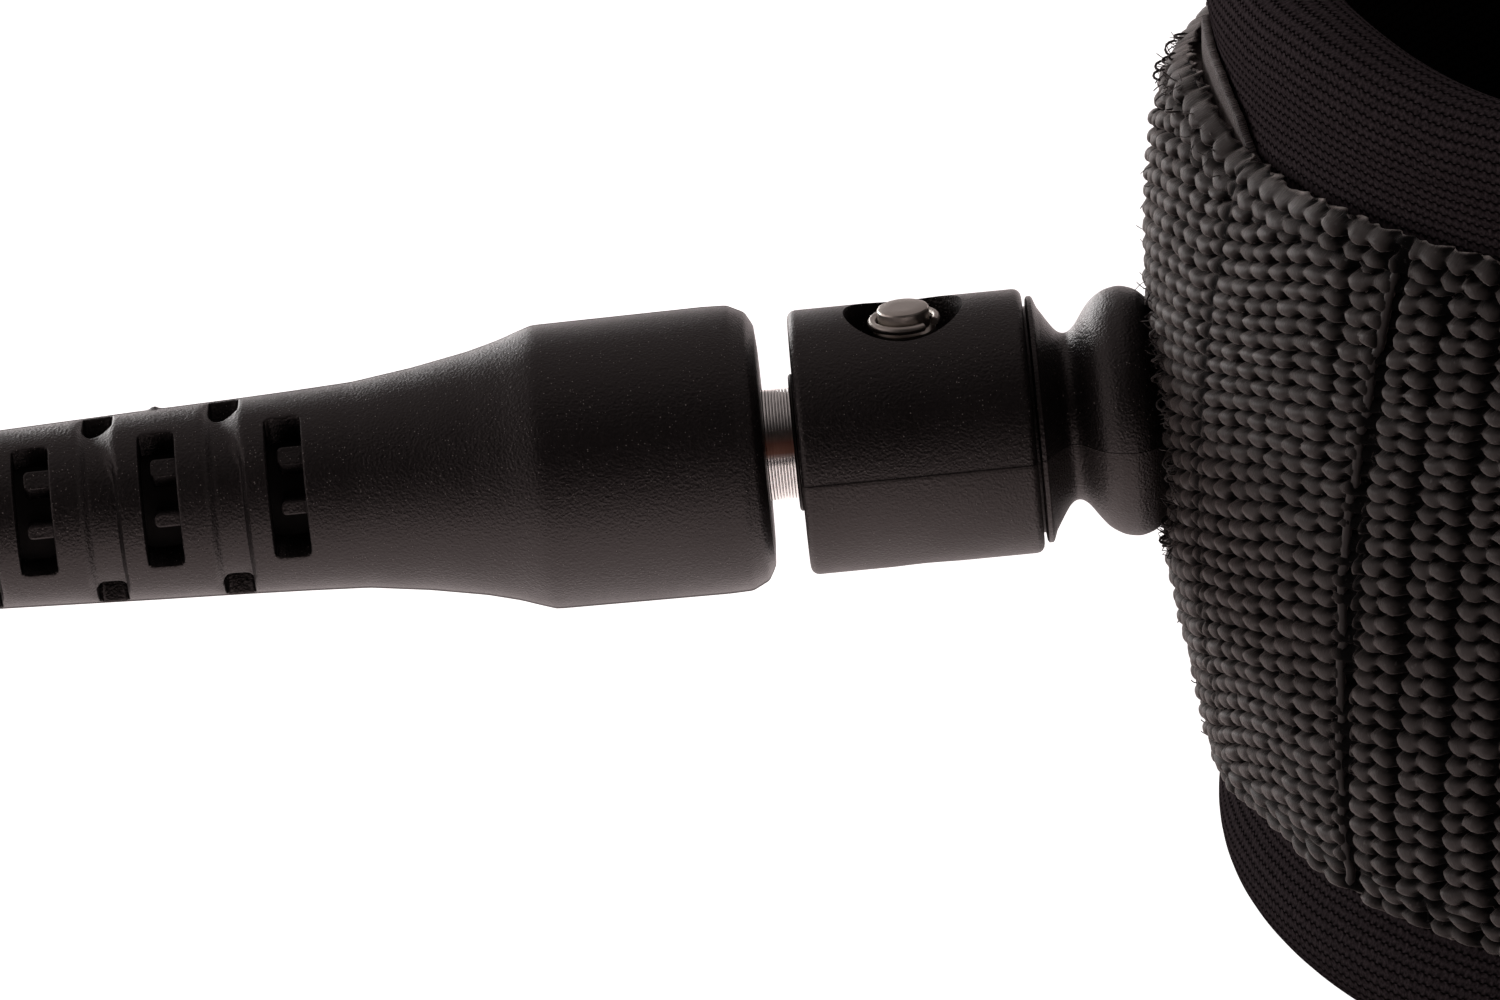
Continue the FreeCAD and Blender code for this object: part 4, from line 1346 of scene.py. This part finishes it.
def saverRow(s, place):
    y = np.arange(-s["width"] / 2 + 1.4, s["width"] / 2 - 1.3, 0.4)
    line = stacked(s["front"] + place, y + s["middle"], cord["floor"] + s["flatHeight"])
    return line, np.tile(up, (len(y), 1))


def makeStitches(name, t, body, rows):
    lines = []
    for line, outward in rows:
        length = lengthsAlong(line)
        for start in np.arange(0.3, length[-1] - t["length"], t["pitch"]):
            at = np.linspace(start, start + t["length"], 7)
            rise = t["rise"] * np.sin(np.linspace(0, math.pi, 7)) - 0.1
            arch = sampled(line, length, at) + sampled(outward, length, at) * rise[:, None]
            lines.append((arch, t["radius"]))
    threadPiece(name, lines, body, 6)


closureRows = boxRows(closure["outerRadius"], stitch["hookBox"])
closureRows += [uprightRow(closure["tab"]["face"], angle, stitch["tabReach"]) for angle in stitch["tabAngles"]]
makeStitches("closureStitches", stitch, "closure", closureRows)
makeStitches("patchStitches", stitch, "cuff", boxRows(closure["loop"]["face"], stitch["loopBox"]))
makeStitches("saverStitches", stitch, "cuff", [saverRow(saver, place) for place in stitch["saverPlaces"]])
print("stitches sewn")


# ---- ties round the coil

tie = {
    "angles": (18.0, 150.0),
    "width": 12.0,
    "thickness": 0.9,
    "halfLength": 10.4,
    "height": 13.4,
    "corner": 3.0,
}


def makeTie(name, t, angle):
    radial, across = compass(angle)
    half, top = t["halfLength"], t["height"]
    corners = [(0.0, 0.0), (-half, 0.0), (-half, top), (half, top), (half, 0.0), (0.5, 0.0)]
    flat = roundedProfile(corners, 0.25, t["corner"])
    way = headings(flat)
    middle = np.array([*cord["coilCentre"], cord["floor"]]) + radial * (cord["outerTurn"] - cord["diameter"])
    line = middle + flat[:, :1] * radial + flat[:, 1:] * up
    outward = -way[:, 1:] * radial + way[:, :1] * up
    weave = dict(strap, rowPitch=0.6, columnPitch=0.6, knuckle=0.12)
    piece = strapPiece(name, weave, line, outward, across, t["width"], t["thickness"], 3, pileHeight)
    return enter(dress(piece, "loop"), "cuff", "loop_pile")


coilTies = [makeTie(f"coilTie{i + 1}", tie, angle) for i, angle in enumerate(tie["angles"])]
print("coil tied")


# ---- carried-over solids

for node, finish in {
    "cuff_cord_core": "core",
    "cuff_swivel_cup": "inner",
    "cuff_thrust_washers": "inner",
    "cuff_cord_ferrule": "innerSteel",
    "board_swivel_cup": "inner",
    "cuff_horn_anchor": "innerSteel",
    "board_horn_anchor": "innerSteel",
}.items():
    dress(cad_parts[node], finish)


# ---- light and surroundings

light = {
    "tent": 1.2,
    "front": 0.03,
    "frontWay": (0.0, -0.93, 0.37),
    "frontEdge": (0.35, 0.92),
    "above": 0.27,
    "aboveEdge": (0.02, 0.24),
    "side": 0.6,
    "sideEdge": (-0.65, -0.95),
    "left": 8.0,
    "leftPlace": (-0.75, 0.85, 0.13),
    "leftTarget": (-0.04, 0, 0),
    "leftSize": (1.2, 0.4),
    "floorHeight": -25.02,
    "floorGlow": 1.0,
    "warm": (1, 0.885, 0.88),
    "floorColour": (0.88, 0.785, 0.77),
    "floorFar": 0.1,
    "floorEdge": (-0.28, -0.06),
}


def makeWorld(l):
    # a pale sweep all round, dimmer above, dark where the viewer stands and brighter on the left
    world = bpy.data.worlds.new("lightTent")
    scene.world = world
    world.use_nodes = True
    tree = world.node_tree
    tree.nodes.clear()
    way = add(tree, "TexCoord")["Generated"]
    parts = add(tree, "SeparateXYZ", {"Vector": way})
    toFront = add(tree, "VectorMath", {0: way, 1: l["frontWay"]}, operation="DOT_PRODUCT")["Value"]
    depth = ramp(toFront, *l["frontEdge"], l["tent"], l["front"])
    depth = depth * ramp(parts["Z"], *l["aboveEdge"], 1.0, l["above"])
    depth = depth + ramp(parts["X"], *l["sideEdge"], 0.0, l["side"])
    tent = add(tree, "Background", {"Color": (*l["warm"], 1), "Strength": depth})[0]
    white = add(tree, "Background", {"Color": (1, 1, 1, 1), "Strength": 1.0})[0]
    mix = add(tree, "MixShader", {"Fac": add(tree, "LightPath")["Is Camera Ray"], 1: tent, 2: white})[0]
    feed(tree.nodes.new("ShaderNodeOutputWorld"), {"Surface": mix})


def makeLeftBox(l):
    data = bpy.data.lights.new("leftBox", "AREA")
    data.shape = "RECTANGLE"
    data.size, data.size_y = l["leftSize"]
    data.energy = l["left"]
    lamp = bpy.data.objects.new("leftBox", data)
    scene.collection.objects.link(lamp)
    lamp.location = l["leftPlace"]
    lamp.rotation_euler = (Vector(l["leftTarget"]) - lamp.location).to_track_quat("-Z", "Y").to_euler()


def makeFloor(l):
    x, y = np.meshgrid((-6000.0, 6000.0), (-6000.0, 6000.0))
    floor = gridPiece("tableTop", stacked(x, y, l["floorHeight"]), closed=False, caps=False, flip=True)
    material, tree, shader = finishNodes(
        "tableTop", Base_Color=(*l["floorColour"], 1), Roughness=0.9, Specular_IOR_Level=0.1)
    rays = add(tree, "LightPath")
    ends = {"A": (*l["warm"], 1), "B": (1, 1, 1, 1)}
    colour = add(tree, "Mix", {"Factor": rays["Is Camera Ray"], **ends}, data_type="RGBA")["Result"]
    # what shines off the part sees the floor fall off towards the viewer
    ahead = add(tree, "SeparateXYZ", {"Vector": objectPlace(tree)})["Y"]
    glow = rays["Is Glossy Ray"] * ramp(ahead, *l["floorEdge"], l["floorFar"], l["floorGlow"])
    feed(shader, {"Emission Color": colour, "Emission Strength": calc("MAXIMUM", rays["Is Camera Ray"], glow)})
    floor.data.materials.append(material)


makeWorld(light)
makeFloor(light)
makeLeftBox(light)
scene.view_settings.view_transform = "Standard"
print("light set")

bpy.context.view_layer.update()
